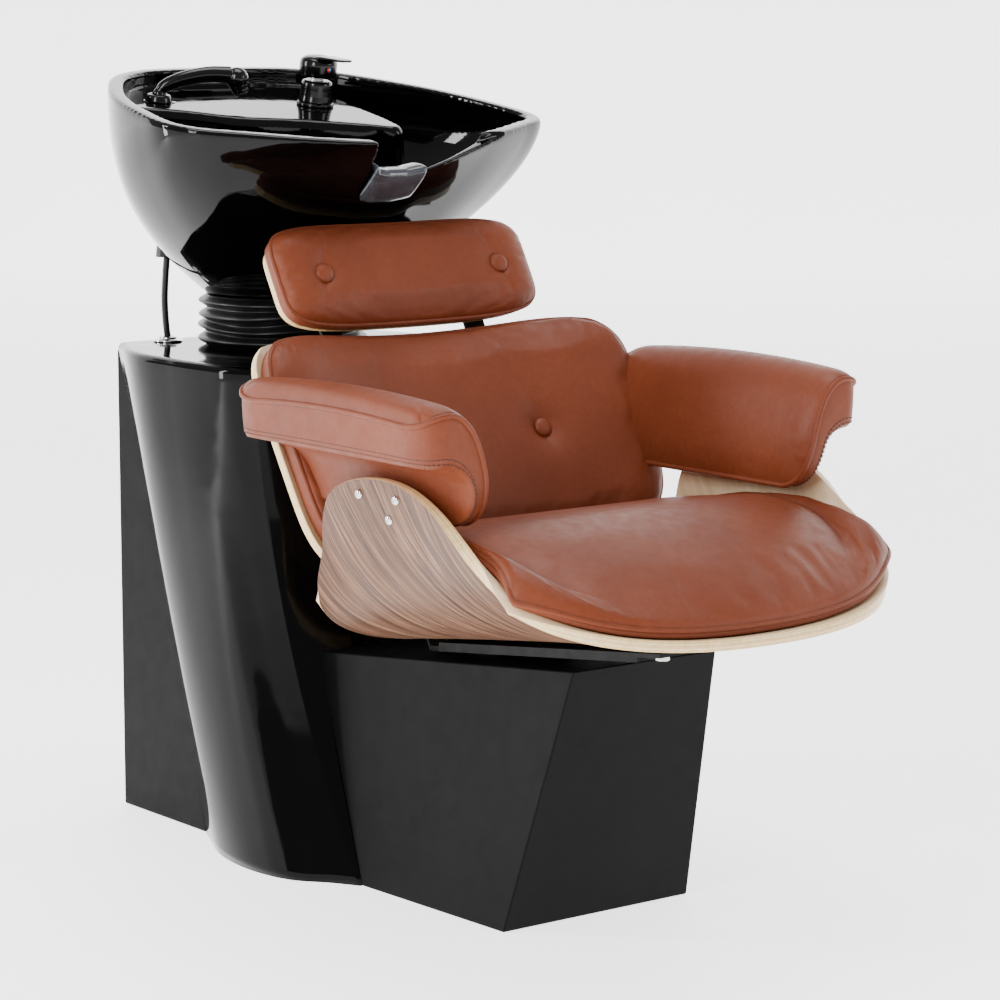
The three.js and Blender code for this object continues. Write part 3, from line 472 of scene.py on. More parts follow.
def frame_coat():
    s = Shader("frame_powder_coat")
    s.surface.inputs["Specular IOR Level"].default_value = .08
    s.into("Base Color", s.ramp(s.noise(30, 4), [(.3, (.004, .004, .0042)), (.7, (.007, .007, .0073))]))
    s.into("Roughness", s.levels(s.noise(70), .3, .7, .34, .5))
    s.into("Normal", s.bump(s.noise(900, 2), .0001, .4))
    return s.material


def bright_metal(name, tone, rough, marks):
    s = Shader(name, Metallic=1.0)
    s.into("Base Color", s.ramp(s.noise(50, 3), [(.3, tuple(.85 * t for t in tone)), (.7, tone)]))
    s.into("Roughness", s.levels(s.noise(120, 4), .3, .7, rough, rough + marks))
    s.into("Normal", s.bump(s.noise(600, 3, .6, s.scaled(s.where, (1, 1, 8))), .00008, marks))
    return s.material


def rubber():
    s = Shader("black_rubber")
    s.surface.inputs["Specular IOR Level"].default_value = .3
    s.into("Base Color", s.ramp(s.noise(20, 4), [(.3, (.003, .003, .003)), (.7, (.006, .006, .0062))]))
    s.into("Roughness", s.levels(s.noise(40, 4), .3, .7, .30, .46))
    s.into("Normal", s.bump(s.noise(500, 3), .0002, .3, s.bump(s.noise(28, 3), .0015, .3)))
    return s.material


def gel():
    """Smoky soft gel, partly see-through."""
    s = Shader("grey_gel", Transmission_Weight=.5, IOR=1.42, Subsurface_Weight=.2, Coat_Weight=.3)
    s.surface.inputs["Subsurface Radius"].default_value = (.01, .01, .011)
    s.into("Base Color", s.ramp(s.noise(40, 3), [(.3, (.050, .056, .068)), (.7, (.095, .104, .122))]))
    s.into("Roughness", s.levels(s.noise(70, 3), .3, .7, .10, .24))
    s.into("Normal", s.bump(s.noise(90, 3), .0006, .35))
    return s.material


def grey_pipe():
    s = Shader("grey_pipe")
    s.into("Base Color", s.ramp(s.noise(30, 3), [(.3, (.17, .17, .175)), (.7, (.22, .22, .225))]))
    s.into("Roughness", s.levels(s.noise(80), .3, .7, .4, .55))
    return s.material


def warm_cold_mark():
    """A round mark, red on one half and blue on the other."""
    s = Shader("warm_cold_mark", Roughness=.25, Coat_Weight=.5)
    side = s.add("ShaderNodeSeparateXYZ", Vector=s.where).outputs["X"]
    warm = s.math("LESS_THAN", side, MIXER_AT[0] * MM)
    paint = s.blend(warm, (.02, .08, .45), (.62, .02, .02))
    s.into("Base Color", s.blend(s.levels(s.noise(400), .4, .7, 0, .25), paint, (.02, .02, .02)))
    return s.material


def floor_paint():
    s = Shader("studio_floor", Emission_Color=(1, 1, 1, 1), Emission_Strength=2.0)
    s.into("Base Color", s.ramp(s.noise(3, 3), [(.3, (.90, .90, .90)), (.7, (.93, .93, .93))]))
    s.into("Roughness", s.levels(s.noise(8, 3), .3, .7, .55, .65))
    return s.material


LEATHER, THREAD, WALNUT, MAPLE, EDGE = leather(), thread(), walnut(), maple(), ply_edge()
GLOSS = gloss_black("gloss_shell", (.0008, .0008, .0009), .05, .0012, .1)
CERAMIC = gloss_black("black_glaze", (.0008, .0008, .0009), .02, .0008, .2)
FITTING = gloss_black("gloss_fitting", (.0016, .0016, .0017), .14, .0001, .3)
SATIN, STEEL, RUBBER, GEL, PIPE = satin_black(), frame_coat(), rubber(), gel(), grey_pipe()
CHROME = bright_metal("polished_chrome", (.78, .78, .79), .05, .05)
ZINC = bright_metal("zinc_plate", (.62, .61, .57), .24, .16)
MARK = warm_cold_mark()

# ---- camera, light and floor ---------------------------------------------------------------------
CAMERA_AT = (-2.486, -3.047 - CENTRE_Y * MM, 1.10)
CAMERA_PITCH, CAMERA_HEADING, CAMERA_LENS = 8.6, -37.5, 120.5


def camera():
    data = bpy.data.cameras.new("camera")
    data.lens, data.sensor_width = CAMERA_LENS, 36
    eye = bpy.data.objects.new("camera", data)
    eye.location = CAMERA_AT
    eye.rotation_euler = (math.radians(90 - CAMERA_PITCH), 0, math.radians(CAMERA_HEADING))
    bpy.context.scene.collection.objects.link(eye)
    bpy.context.scene.camera = eye


def softbox(name, at, aim, size, power, tint=(1, 1, 1)):
    data = bpy.data.lights.new(name, "AREA")
    data.shape, data.size, data.size_y, data.energy, data.color = "RECTANGLE", *size, power, tint
    lamp = bpy.data.objects.new(name, data)
    lamp.location = at
    lamp.rotation_euler = (Vector(aim) - Vector(at)).to_track_quat("-Z", "Y").to_euler()
    bpy.context.scene.collection.objects.link(lamp)


def studio():
    world = bpy.data.worlds.new("studio")
    world.use_nodes = True
    back = world.node_tree.nodes["Background"]
    back.inputs["Color"].default_value = (1, 1, 1, 1)
    back.inputs["Strength"].default_value = .55
    bpy.context.scene.world = world
    softbox("key", (-3.2, -1.2, 2.2), (0, 0, .6), (.7, 2.4), 110)
    softbox("fill", (2.6, -3.0, 2.1), (0, 0, .5), (1.2, 1.2), 35)
    softbox("top", (.2, .2, 3.2), (0, 0, .5), (1.8, 1.4), 60)
    softbox("strip", (-2.6, 1.9, 1.3), (0, .2, .5), (.35, 2.4), 90)
    size = 40
    floor = new_object("floor", [(-size, -size, 0), (size, -size, 0), (size, size, 0), (-size, size, 0)],
                       [(0, 1, 2, 3)], [floor_paint()], smooth=False)
    ahead = Vector((-math.sin(math.radians(CAMERA_HEADING)), math.cos(math.radians(CAMERA_HEADING)), 0))
    side, foot = ahead.cross(Vector((0, 0, 1))), Vector((*CAMERA_AT[:2], 0)) + 14 * ahead
    corners = [foot + across * side + Vector((0, 0, up))
               for across, up in ((-20, 0), (20, 0), (20, 9), (-20, 9))]
    new_object("backdrop", corners, [(0, 1, 2, 3)], [floor_paint()], smooth=False)


camera()
studio()

# ---- the shower hose, from the basin's underside into the column -----------------------------------
HOSE_RADIUS = .0045
HOSE_ROUTE = [(-112, 780, 751), (-113, 781, 735), (-114, 782, 715), (-115, 782, 695), (-115, 781, 675),
              (-114, 780, 655), (-112, 780, 640), (-112, 780, 620), (-112, 780, 600)]
BELLOWS_FOOT, BELLOWS_HEAD = (0, 670, COLUMN_TOP + 4), (0, 670, NECK_Z - 2)


def tilting(piece, low, high, slot, *nodes):
    """A soft piece between the column and the basin: hides the CAD nodes it stands for and bakes its
    transform into its mesh.
    """
    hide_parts(*nodes)
    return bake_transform(piece, ROOT, BASIN, start=tuple(to_row(low)), end=tuple(to_row(high)))


def shower_hose():
    path = evenly(catmull(to_row(HOSE_ROUTE), np.linspace(0, 1, 240)), 90)
    piece = tube("shower_hose_skin", path, HOSE_RADIUS, [RUBBER], sides=20)
    tilting(piece, (*HOSE_OUT, COLUMN_TOP + 6), (*HOSE_OUT, 750), "black_rubber", "shower_hose")


shower_hose()

# ---- column, cabinet and pedestal ----------------------------------------------------------------
def column_front(z):
    return 276 + .51 * z - .00042 * z * z


def column_rear(z):
    return COLUMN_REAR + COLUMN_LEAN * z / COLUMN_TOP


def column_ring(z, inset, count=90):
    share = max(0, z) / COLUMN_TOP
    front, rear = column_front(z) + inset, column_rear(z) - inset
    half = [(lerp(low, high, share) - inset, lerp(front, rear, depth), z)
            for low, high, depth in COLUMN_OUTLINE]
    side = evenly(catmull(half, np.linspace(0, 1, 200)), count)
    return np.concatenate([side, side[::-1] * (-1, 1, 1)])


def column_shell():
    """The leaning column with its flat top, whose edge is rolled."""
    roll = 9
    rings = [column_ring(z, 0) for z in np.linspace(0, COLUMN_TOP - roll, 60)]
    for turn in np.linspace(.15, 1, 8) * math.pi / 2:
        z = COLUMN_TOP - roll + roll * math.sin(turn)
        rings.append(column_ring(z, roll * (1 - math.cos(turn))))
    rings += [column_ring(COLUMN_TOP, inset) for inset in (14, 30, 60)]
    piece = loft("column_skin", to_row(rings), [GLOSS])
    dress(piece, ROOT, "gloss_shell", "column_shell")


def flat_sided(name, low, high, material, slot, node, soften):
    """A solid with flat faces between two four-cornered rings, its edges softened."""
    piece = loft(name, to_row([low, high]), [material], smooth=True)
    bevelled(piece, soften, 4)
    return dress(applied(piece), ROOT, slot, node)


def covers():
    top = COLUMN_TOP - 11

    def cabinet_ring(z):
        front = column_rear(z) + .5
        return [(-CABINET_HALF, front, z), (CABINET_HALF, front, z), (CABINET_HALF, CABINET_REAR, z),
                (-CABINET_HALF, CABINET_REAR, z)]
    flat_sided("cabinet_skin", cabinet_ring(0), cabinet_ring(top), SATIN, "satin_panel", "rear_cabinet", 2.5)
    floor = [(-143, 0, 0), (143, 0, 0), (154, 275, 0), (-154, 275, 0)]
    slope = [(-109, -89, 325), (109, -89, 325), (136, 395, 277), (-136, 395, 277)]
    flat_sided("pedestal_skin", floor, slope, SATIN, "satin_panel", "pedestal_cover", 2.2)


# ---- seat ----------------------------------------------------------------------------------------
SEAT_EDGE = [(280, -188, 428), (285, -156, 458), (288, -110, 495), (287, -62, 526), (283, 0, 546),
             (281, 60, 549), (280, 115, 539), (278, 152, 520), (276, 167, 492), (273, 175, 450),
             (270, 192, 412), (268, 200, 384)]


def bezier(t, a, b, c, d):
    return a * (1 - t) ** 3 + 3 * b * t * (1 - t) ** 2 + 3 * c * t * t * (1 - t) + d * t ** 3


def seat_under(y):
    return SEAT_FRONT_Z - (y - SEAT_FRONT) * SEAT_TILT


def seat_point(along, across):
    """A point on the shell's middle surface: along runs 0 to 1 front to rear, across -1 to 1."""
    along, across = np.broadcast_arrays(np.asarray(along, float), np.asarray(across, float))
    edge = catmull(SEAT_EDGE, along)
    middle = lerp(SEAT_FRONT, SEAT_REAR, along)
    s = np.abs(across)
    y = lerp(middle, edge[..., 1], s * s)
    floor = seat_under(middle) + PLY / 2
    rise = edge[..., 2] - floor
    bend = np.minimum(1, rise / 170)
    x = bezier(s, 0, lerp(.45, .78, bend) * edge[..., 0], lerp(.8, 1, bend) * edge[..., 0], edge[..., 0])
    z = floor + rise * bezier(s, 0, 0, lerp(.25, .34, bend), 1)
    return np.stack([np.sign(across) * x, y, z], -1)


def seat_normal(along, across, d=.01):
    along, across = np.broadcast_arrays(np.asarray(along, float), np.asarray(across, float))
    down = seat_point(np.minimum(1, along + d), across) - seat_point(np.maximum(0, along - d), across)
    over = seat_point(along, np.minimum(1, across + d)) - seat_point(along, np.maximum(-1, across - d))
    n = np.cross(over, down)
    return n / np.linalg.norm(n, axis=-1, keepdims=True)


def plywood(name, upper, lower, grain, outside, inside, plies=6):
    """Bent plywood from two grids of points: veneer faces and a rounded, layered edge. grain holds each
    point's place on the veneer in metres, across the lines then along them; Z is depth in the edge."""
    rows, cols = upper.shape[:2]
    face = grid_faces(rows, cols)
    r, c = border_loop(rows, cols)
    a, b = upper[r, c], lower[r, c]
    neighbour = upper[np.clip(r, 1, rows - 2), np.clip(c, 1, cols - 2)]
    away = a - neighbour
    thick = a - b
    thick_way = thick / np.linalg.norm(thick, axis=1, keepdims=True)
    away -= (away * thick_way).sum(1, keepdims=True) * thick_way
    away /= np.linalg.norm(away, axis=1, keepdims=True) + 1e-9
    rounding = 1.3 * MM
    shares = np.linspace(0, 1, plies + 1)
    bulge = [rounding * (1 - (2 * t - 1) ** 4) for t in shares]
    strips = np.stack([lerp(a, b, t) + away * k for t, k in zip(shares, bulge)])
    n = rows * cols
    points = np.concatenate([upper.reshape(-1, 3), lower.reshape(-1, 3), strips[1:-1].reshape(-1, 3)])
    between = [2 * n + k * len(r) + np.arange(len(r)) for k in range(plies - 1)]
    index = [r * cols + c, *between, n + r * cols + c]
    faces, slots = [*face, *(face[:, ::-1] + n)], [0] * len(face) + [1] * len(face)
    for top, bottom in zip(index, index[1:]):
        band = np.stack([top, bottom, np.roll(bottom, -1), np.roll(top, -1)], -1)
        faces += [*band]
        slots += [2] * len(band)
    piece = new_object(name, points, faces, [inside, outside, EDGE], slots)
    depth = np.concatenate([np.zeros(n), np.full(n, PLY * MM),
                            np.repeat(shares[1:-1] * PLY * MM, len(r))])
    place = np.concatenate([grain.reshape(-1, 2), grain.reshape(-1, 2),
                            np.tile(grain[r, c], (plies - 1, 1))])
    data = piece.data.attributes.new("grain", "FLOAT_VECTOR", "POINT").data
    data.foreach_set("vector", np.column_stack([place, depth]).astype(np.float32).ravel())
    mark = piece.data.attributes.new("sharp_edge", "BOOLEAN", "EDGE")
    rim = {frozenset(e) for line in (index[0], index[-1])
           for e in zip(line.tolist(), np.roll(line, -1).tolist())}
    mark.data.foreach_set("value", [frozenset(e.vertices) in rim for e in piece.data.edges])
    return piece


def seat_shell():
    along, across = np.meshgrid(np.linspace(0, 1, 110), np.linspace(-1, 1, 121), indexing="ij")
    middle, normal = seat_point(along, across), seat_normal(along, across)
    line = np.linalg.norm(np.diff(middle, axis=1), axis=-1)
    reach = np.concatenate([np.zeros((110, 1)), np.cumsum(line, axis=1)], 1) * MM
    grain = np.stack([along * .52, reach], -1)
    piece = plywood("seat_shell_skin", to_row(middle + normal * PLY / 2), to_row(middle - normal * PLY / 2),
                    grain, WALNUT, MAPLE)
    dress(piece, ROOT, "walnut_ply", "seat_shell")


# ---- cushions ------------------------------------------------------------------------------------
def dense_ends(count, power=.72):
    """Numbers from -1 to 1, closer together near both ends."""
    t = np.linspace(-1, 1, count)
    return np.sign(t) * (1 - (1 - np.abs(t)) ** (1 / power))


def soft_simulation(piece, pinned, cap, pressure=4.0, slack=.004, frames=12):
    """Swells a closed leather cover by cloth simulation, holding the pinned points, and keeps the result.
    No point moves further than cap, in metres."""
    mesh = piece.data
    rest = np.array([v.co for v in mesh.vertices])
    group = piece.vertex_groups.new(name="held")
    for index, weight in enumerate(pinned):
        if weight > 0:
            group.add([index], float(weight), "REPLACE")
    cloth = piece.modifiers.new("cloth", "CLOTH")
    settings = cloth.settings
    settings.quality, settings.mass, settings.air_damping = 6, .35, 2
    settings.tension_stiffness = settings.compression_stiffness = 25
    settings.shear_stiffness, settings.bending_stiffness = 10, 1.2
    settings.use_pressure, settings.uniform_pressure_force = True, pressure
    settings.shrink_min = -slack
    settings.effector_weights.gravity = 0
    settings.vertex_group_mass = "held"
    cloth.collision_settings.use_collision = False
    cloth.point_cache.frame_start, cloth.point_cache.frame_end = 1, frames
    scene = bpy.context.scene
    for step in range(1, frames + 1):
        scene.frame_set(step)
    graph = bpy.context.evaluated_depsgraph_get()
    swollen = piece.evaluated_get(graph).to_mesh()
    moved_to = np.array([v.co for v in swollen.vertices])
    piece.evaluated_get(graph).to_mesh_clear()
    piece.modifiers.remove(cloth)
    scene.frame_set(1)
    step = moved_to - rest
    length = np.linalg.norm(step, axis=1, keepdims=True)
    step *= np.minimum(1, cap / np.maximum(length, 1e-9))
    mesh.vertices.foreach_set("co", (rest + step).astype(np.float32).ravel())
    mesh.update()


def cushion(name, place, boxing, rise, rows, cols, node, piping=.0033, swell=0.0, stitches=(), power=.72):
    """A boxed cushion. place(u, v, h) gives points in the row frame, for u and v from -1 to 1 over its
    outline and h up its thickness in mm; boxing is the height of its side band, and rise(u, v) the
    height of its face over the seam."""
    u, v = np.meshgrid(dense_ends(cols, power), dense_ends(rows, power))
    r, c = border_loop(rows, cols)
    face = place(u, v, boxing + rise(u, v))
    base = place(u * .97, v * .97, np.zeros_like(u))
    grid = grid_faces(rows, cols)
    n, m = rows * cols, len(r)
    steps = [.86, .66, .45, .25, .1]
    bu, bv = u[r, c], v[r, c]
    bands = [place(bu * (1 + .006 * math.sin(math.pi * t)), bv * (1 + .006 * math.sin(math.pi * t)),
                   np.full(m, boxing * t)) for t in steps]
    points = np.concatenate([face.reshape(-1, 3), base.reshape(-1, 3), *bands])
    index = [r * cols + c] + [2 * n + k * m + np.arange(m) for k in range(len(steps))] + [n + r * cols + c]
    faces = [*grid, *(grid[:, ::-1] + n)]
    for top, bottom in zip(index, index[1:]):
        faces += [*np.stack([top, bottom, np.roll(bottom, -1), np.roll(top, -1)], -1)]
    piece = new_object(name, points, faces, [LEATHER])
    if swell:
        held = np.ones(len(points))
        inner = np.minimum(1 - np.abs(u), 1 - np.abs(v))
        held[:n] = 1 - smoothstep(inner, 0, .05).ravel()
        soft_simulation(piece, held, swell)
    dress(piece, ROOT, "tan_leather", *([node] if node else []))
    seam = place(bu, bv, np.full(m, boxing))
    seam = np.concatenate([seam, seam[:1]])
    count = int(np.linalg.norm(np.diff(seam, axis=0), axis=1).sum() / .004)
    seam = evenly(seam, count + 1)[:-1]
    seam = seam + .25 * (np.roll(seam, 1, 0) + np.roll(seam, -1, 0) - 2 * seam)
    cord = tube(name + "_piping", seam, piping, [LEATHER], sides=12, closed=True)
    dress(cord, ROOT, "tan_leather")
    for k, height in enumerate(stitches):
        line = place(bu * 1.006, bv * 1.006, np.full(m, boxing * height))
        line = np.concatenate([line, line[:1]])
        dress(stitch_row(f"{name}_stitch_{k + 1}", line), ROOT, "tan_leather")
    return piece


def stitch_row(name, line, stitch=.0042, gap=.0016, radius=.00055):
    """A row of short thread stitches along a line."""
    length = np.linalg.norm(np.diff(line, axis=0), axis=1).sum()
    pitch = stitch + gap
    count = int(length / pitch)
    fine = evenly(line, count * 4 + 1)
    points, faces = [], []
    for k in range(count):
        a, b = fine[4 * k], fine[4 * k + 3]
        ahead = (b - a) / (np.linalg.norm(b - a) + 1e-12)
        side = np.cross(ahead, (.3, .2, 1))
        side /= np.linalg.norm(side) + 1e-12
        other = np.cross(ahead, side)
        start = len(points)
        for centre, grow in ((a, .5), (lerp(a, b, .2), 1), (lerp(a, b, .8), 1), (b, .5)):
            for corner in range(5):
                turn = TURN * corner / 5
                points.append(centre + radius * grow * (side * math.cos(turn) + other * math.sin(turn)))
        for row in range(3):
            for corner in range(5):
                p, q = start + row * 5 + corner, start + row * 5 + (corner + 1) % 5
                faces.append([p, q, q + 5, p + 5])
        faces += [[start + i for i in range(5)][::-1], [start + 15 + i for i in range(5)]]
    return new_object(name, points, faces, [THREAD])


def edge_roll(u, v, width_u, width_v):
    """0 at a cushion's seam, rising in a round shoulder to 1 over the given shares of its width."""
    across = np.clip((1 - np.abs(u)) / width_u, 0, 1)
    along = np.clip((1 - np.abs(v)) / width_v, 0, 1)
    return np.sqrt(1 - (1 - across) ** 2) * np.sqrt(1 - (1 - along) ** 2)


def puckers(u, v, size, seed):
    """Faint uneven fullness near the seams."""
    near = np.exp(-np.minimum(1 - np.abs(u), 1 - np.abs(v)) / .1)
    return size * near * (np.sin(17 * u + seed) * np.sin(13 * v + 2 * seed) + .5 * np.sin(31 * u * v + seed))


SEAT_BOXING = 9


def seat_place(u, v, height):
    """u across, v from the front (-1) to the rear (1)."""
    share = (v + 1) / 2
    along = lerp(.03, .925, share)
    reach = lerp(.945, .8, smoothstep(along, .02, .4))
    across = u * reach
    flat = np.minimum(height, SEAT_BOXING)
    point = seat_point(along, across) + seat_normal(along, across) * (PLY / 2 + 1 + flat)[..., None]
    point[..., 2] += np.maximum(0, height - SEAT_BOXING)
    return to_row(point)


def seat_rise(u, v):
    share = (v + 1) / 2
    along = lerp(.03, .925, share)
    across = u * lerp(.945, .8, smoothstep(along, .02, .4))
    seam = seat_point(along, across) + seat_normal(along, across) * (PLY / 2 + 1 + SEAT_BOXING)
    flat = seat_under(seam[..., 1]) + PLY + SEAT_PAD * smoothstep(share, -.25, .5)
    crown = 8 * (1 - u * u) * (1 - v * v)
    return np.maximum(26, flat - seam[..., 2] + crown) * edge_roll(u, v, .2, .2) + puckers(u, v, .7, 1)


def panel_place(foot, length, foot_half, top_half, wrap, corner, base, inset):
    """Places for a rounded panel in the back's plane, as place(u, v, height)."""
    def place(u, v, height):
        share = (v + 1) / 2
        half = lerp(foot_half, top_half, share) - inset
        pull = 1 - corner * np.abs(v) ** 6
        droop = .5 * corner * foot_half * np.abs(u) ** 6
        x = u * half * pull
        y = foot + inset + share * (length - 2 * inset) - v * droop
        return moved(np.stack([x, y, wrap * (x / top_half) ** 2 + base + height], -1), BACK_FRAME)
    return place


BACK = (0, BACK_LENGTH, BACK_FOOT_HALF, BACK_TOP_HALF, BACK_WRAP, .12)
HEADREST = (HEADREST_FOOT, HEADREST_HEIGHT, HEADREST_HALF, HEADREST_HALF, 8, .1)
BACK_BUTTONS = [(-125, 160), (125, 160)]
HEADREST_BUTTONS = [(-136, HEADREST_FOOT + 64), (136, HEADREST_FOOT + 64)]


def buttoned(buttons, half, foot, length, depth, width):
    """The pull of each button: a dimple with a soft crease running up from it."""
    def dip(u, v):
        x, y = u * half, foot + (v + 1) / 2 * length
        total = np.zeros_like(u)
        for bx, by in buttons:
            total += depth * np.exp(-(np.hypot(x - bx, y - by) / width) ** 1.4)
            line = np.abs((x - bx) + .25 * np.sign(bx) * (y - by))
            crease = np.exp(-(line / (.35 * width)) ** 2) * np.exp(-np.abs(y - by) / (1.6 * width))
            total += .28 * depth * crease
        return total
    return dip


def panel_cushion(name, shape, base, inset, boxing, pad, buttons, shoulder, dimple, node, seed, swell):
    foot, length, foot_half, top_half = shape[:4]
    dip = buttoned(buttons, .5 * (foot_half + top_half), foot, length, *dimple)

    def rise(u, v):
        full = edge_roll(u, v, shoulder[0], shoulder[1])
        crown = .84 + .16 * (1 - u * u) * (1 - v * v)
        return (pad - boxing) * full * crown + puckers(u, v, .8, seed) - dip(u, v) * full
    return cushion(name, panel_place(*shape, base, inset), boxing, rise, 70, 150, node, swell=swell)


def panel_shell(name, shape, front, inset, node):
    v, u = np.meshgrid(np.linspace(-1, 1, 80), np.linspace(-1, 1, 130), indexing="ij")
    place = panel_place(*shape, front, inset)
    face, rear = place(u, v, np.zeros_like(u)), place(u, v, np.full_like(u, -PLY))
    grain = np.stack([face[..., 0] * .9, (v + 1) * shape[1] * MM / 2], -1)
    dress(plywood(name, face, rear, grain, WALNUT, MAPLE), ROOT, "walnut_ply", node)


def leather_button(name, x, y, height, node):
    matrix = BACK_FRAME @ Matrix.Translation((x, y, height))
    dome = [(0, -2), (9, -2), (12.2, -.5), (13, 1.6), (12.3, 3.8), (9.8, 6), (6, 7.4), (0, 8)]
    profile = [tuple(p) for p in catmull(dome, np.linspace(0, 1, 26))]
    profile[0], profile[-1] = (0, profile[0][1]), (0, profile[-1][1])
    dress(lathe(name, profile, matrix, [LEATHER], 40), ROOT, "tan_leather", node)


def seat_back_and_headrest():
    cushion("seat_cushion_cover", seat_place, SEAT_BOXING, seat_rise, 110, 130, "seat_cushion", swell=.0025)
    panel_shell("back_shell_skin", BACK, 0, 0, "back_shell")
    panel_cushion("back_cushion_cover", BACK, .6, 6, 22, BACK_PAD, BACK_BUTTONS, (.26, .34), (12, 26),
                  "back_cushion", 2, .0025)
    panel_shell("headrest_shell_skin", HEADREST, HEADREST_STEP, 6, "headrest_shell")
    panel_cushion("headrest_cushion_cover", HEADREST, HEADREST_STEP + .6, 1, 16, HEADREST_PAD,
                  HEADREST_BUTTONS, (.24, .5), (8, 17), "headrest_cushion", 3, .0015)
    for hand, (x, y) in zip(("left", "right"), BACK_BUTTONS):
        height = BACK_PAD - 9.5 + BACK_WRAP * (x / BACK_TOP_HALF) ** 2
        leather_button(f"back_button_{hand}_cover", x, y, height, f"back_button_{hand}")
    for hand, (x, y) in zip(("left", "right"), HEADREST_BUTTONS):
        height = HEADREST_STEP + HEADREST_PAD - 6 + 8 * (x / HEADREST_HALF) ** 2
        leather_button(f"headrest_button_{hand}_cover", x, y, height, f"headrest_button_{hand}")


# ---- arms ----------------------------------------------------------------------------------------
ARM_FACE = [(330, 624), (322, 636), (306, 643), (286, 641), (268, 625), (255, 598), (247, 566),
            (243, 536), (242, 508)]
ARM_BACK = [(326, 580), (318, 579), (306, 579), (294, 577), (282, 572), (271, 562), (265, 548),
            (262, 528), (260, 506)]
ARM_LINE, ARM_CORNER = 175, 52        # length of the pad's section, and the corner radius of its outline


def arm_place(side):
    """u runs along the arm, front (-1) to rear (1); v from the outer edge (-1) down to the inner (1)."""
    half_y, half_s = (ARM_REAR - ARM_FRONT) / 2, ARM_LINE / 2

    def place(u, v, height):
        a, b = np.abs(u) * half_y, np.abs(v) * half_s
        p, q = a - (half_y - ARM_CORNER), b - (half_s - ARM_CORNER)
        corner = (p > 0) & (q > 0)
        size, reach = np.maximum(p, q), np.hypot(p, q)
        a = np.where(corner, half_y - ARM_CORNER + p * size / np.maximum(reach, 1e-9), a)
        b = np.where(corner, half_s - ARM_CORNER + q * size / np.maximum(reach, 1e-9), b)
        y = (ARM_FRONT + ARM_REAR) / 2 + np.sign(u) * a
        s = np.clip((1 + np.sign(v) * b / half_s) / 2, 0, 1)
        show, behind = catmull(ARM_FACE, s), catmull(ARM_BACK, s)
        across = show - behind
        thick = np.linalg.norm(across, axis=-1)
        lift = 11 * (1 - np.clip(u, -1, 1) ** 2) * (1 - s) ** .5
        section = behind + across * (height / 45)[..., None]
        spare = np.maximum(0, height - 45)
        proud = show + across / thick[..., None] * spare[..., None]
        section = np.where((height > 45)[..., None], proud, section)
        x, z = section[..., 0], section[..., 1] + lift * np.minimum(1, height / 45)
        return to_row(np.stack([side * np.minimum(x, 331), y, z], -1))
    return place


def arm_rise(u, v):
    return 7 * edge_roll(u, v, .16, .3) + puckers(u, v, .6, 4)


def arms():
    for side, hand in ((-1, "left"), (1, "right")):
        cushion(f"arm_pad_{hand}_cover", arm_place(side), 42, arm_rise, 60, 110, f"arm_pad_{hand}",
                piping=.0034, stitches=(.1, .2))


# ---- screws --------------------------------------------------------------------------------------
ARM_SCREWS = [(.515, .96), (.4, .95), (.455, .88)]


def screw_head(at, normal, node):
    """A domed chrome socket screw."""
    turn = Vector((0, 0, 1)).rotation_difference(Vector(normal)).to_matrix().to_4x4()
    matrix = Matrix.Translation(Vector(at)) @ turn @ Matrix.Scale(MM, 4)
    profile = [(0, -1), (6, -1), (6, .6), (5.4, 2.1), (4, 3.2), (2.5, 3.7), (2.2, 3.5), (2.1, 1.6), (0, 1.4)]
    head = lathe(f"{node}_head", rounded_profile(profile, .5), matrix, [CHROME], 36)
    dress(head, ROOT, "chrome_trim", node)


def arm_screws():
    for side, hand in ((-1, "left"), (1, "right")):
        for number, (along, across) in enumerate(ARM_SCREWS, 1):
            normal = seat_normal(along, side * across)
            at = to_row(seat_point(along, side * across) - normal * (PLY / 2 + .2))
            screw_head(at, -normal, f"arm_screw_{hand}_{number}")


# ---- basin ---------------------------------------------------------------------------------------
RIM = [(0, -257), (66, -254), (140, -224), (222, -178), (271, -146), (290, -106), (286, -36), (265, 56),
       (224, 141), (176, 206), (120, 240), (50, 250), (0, 251)]
DECK = [(-230, 110), (-150, 66), (-98, 22), (-20, -4), (60, -45), (92, -66), (106, -60), (116, -30),
        (126, 36), (132, 95), (128, 160), (120, 300), (-230, 300)]
NOTCH = [(-66, -1), (-63, 8), (-57, 30), (-48, 43), (-30, 47), (0, 47), (24, 42), (50, 32), (90, 18),
         (130, 7), (165, -1)]
RIM_POINTS = 110


def rim_loop(inset):
    half = evenly(catmull(RIM, np.linspace(0, 1, 600)), RIM_POINTS)
    loop = np.concatenate([half, half[1:-1][::-1] * (-1, 1)])
    along = np.roll(loop, -1, 0) - np.roll(loop, 1, 0)
    along /= np.linalg.norm(along, axis=1, keepdims=True)
    return loop + inset * np.stack([-along[:, 1], along[:, 0]], -1)


def fall(x, v):
    """How steeply the wall falls: steep at the rear, straighter to the neck at the front and its tips."""
    front = lerp(1.02, 1.55, smoothstep(np.abs(x), 60, 240))
    return lerp(front, 2.7, smoothstep(v, -190, 60))


def outer_ring(depth):
    """The outside of the basin at a share of the way from rim to neck, in the row frame."""
    rim = rim_loop(0)
    x, v = rim.T
    top = moved(np.column_stack([rim, np.zeros(len(rim))]), BASIN_FRAME)
    pivot = to_row(PIVOT)
    out = top[:, :2] - pivot[:2]
    out *= NECK_RADIUS * MM / np.linalg.norm(out, axis=1, keepdims=True)
    share = (1 - depth ** fall(x, v))[:, None]
    flat = lerp(pivot[:2] + out, top[:, :2], share)
    return np.column_stack([flat, lerp(top[:, 2], NECK_Z * MM, depth)])


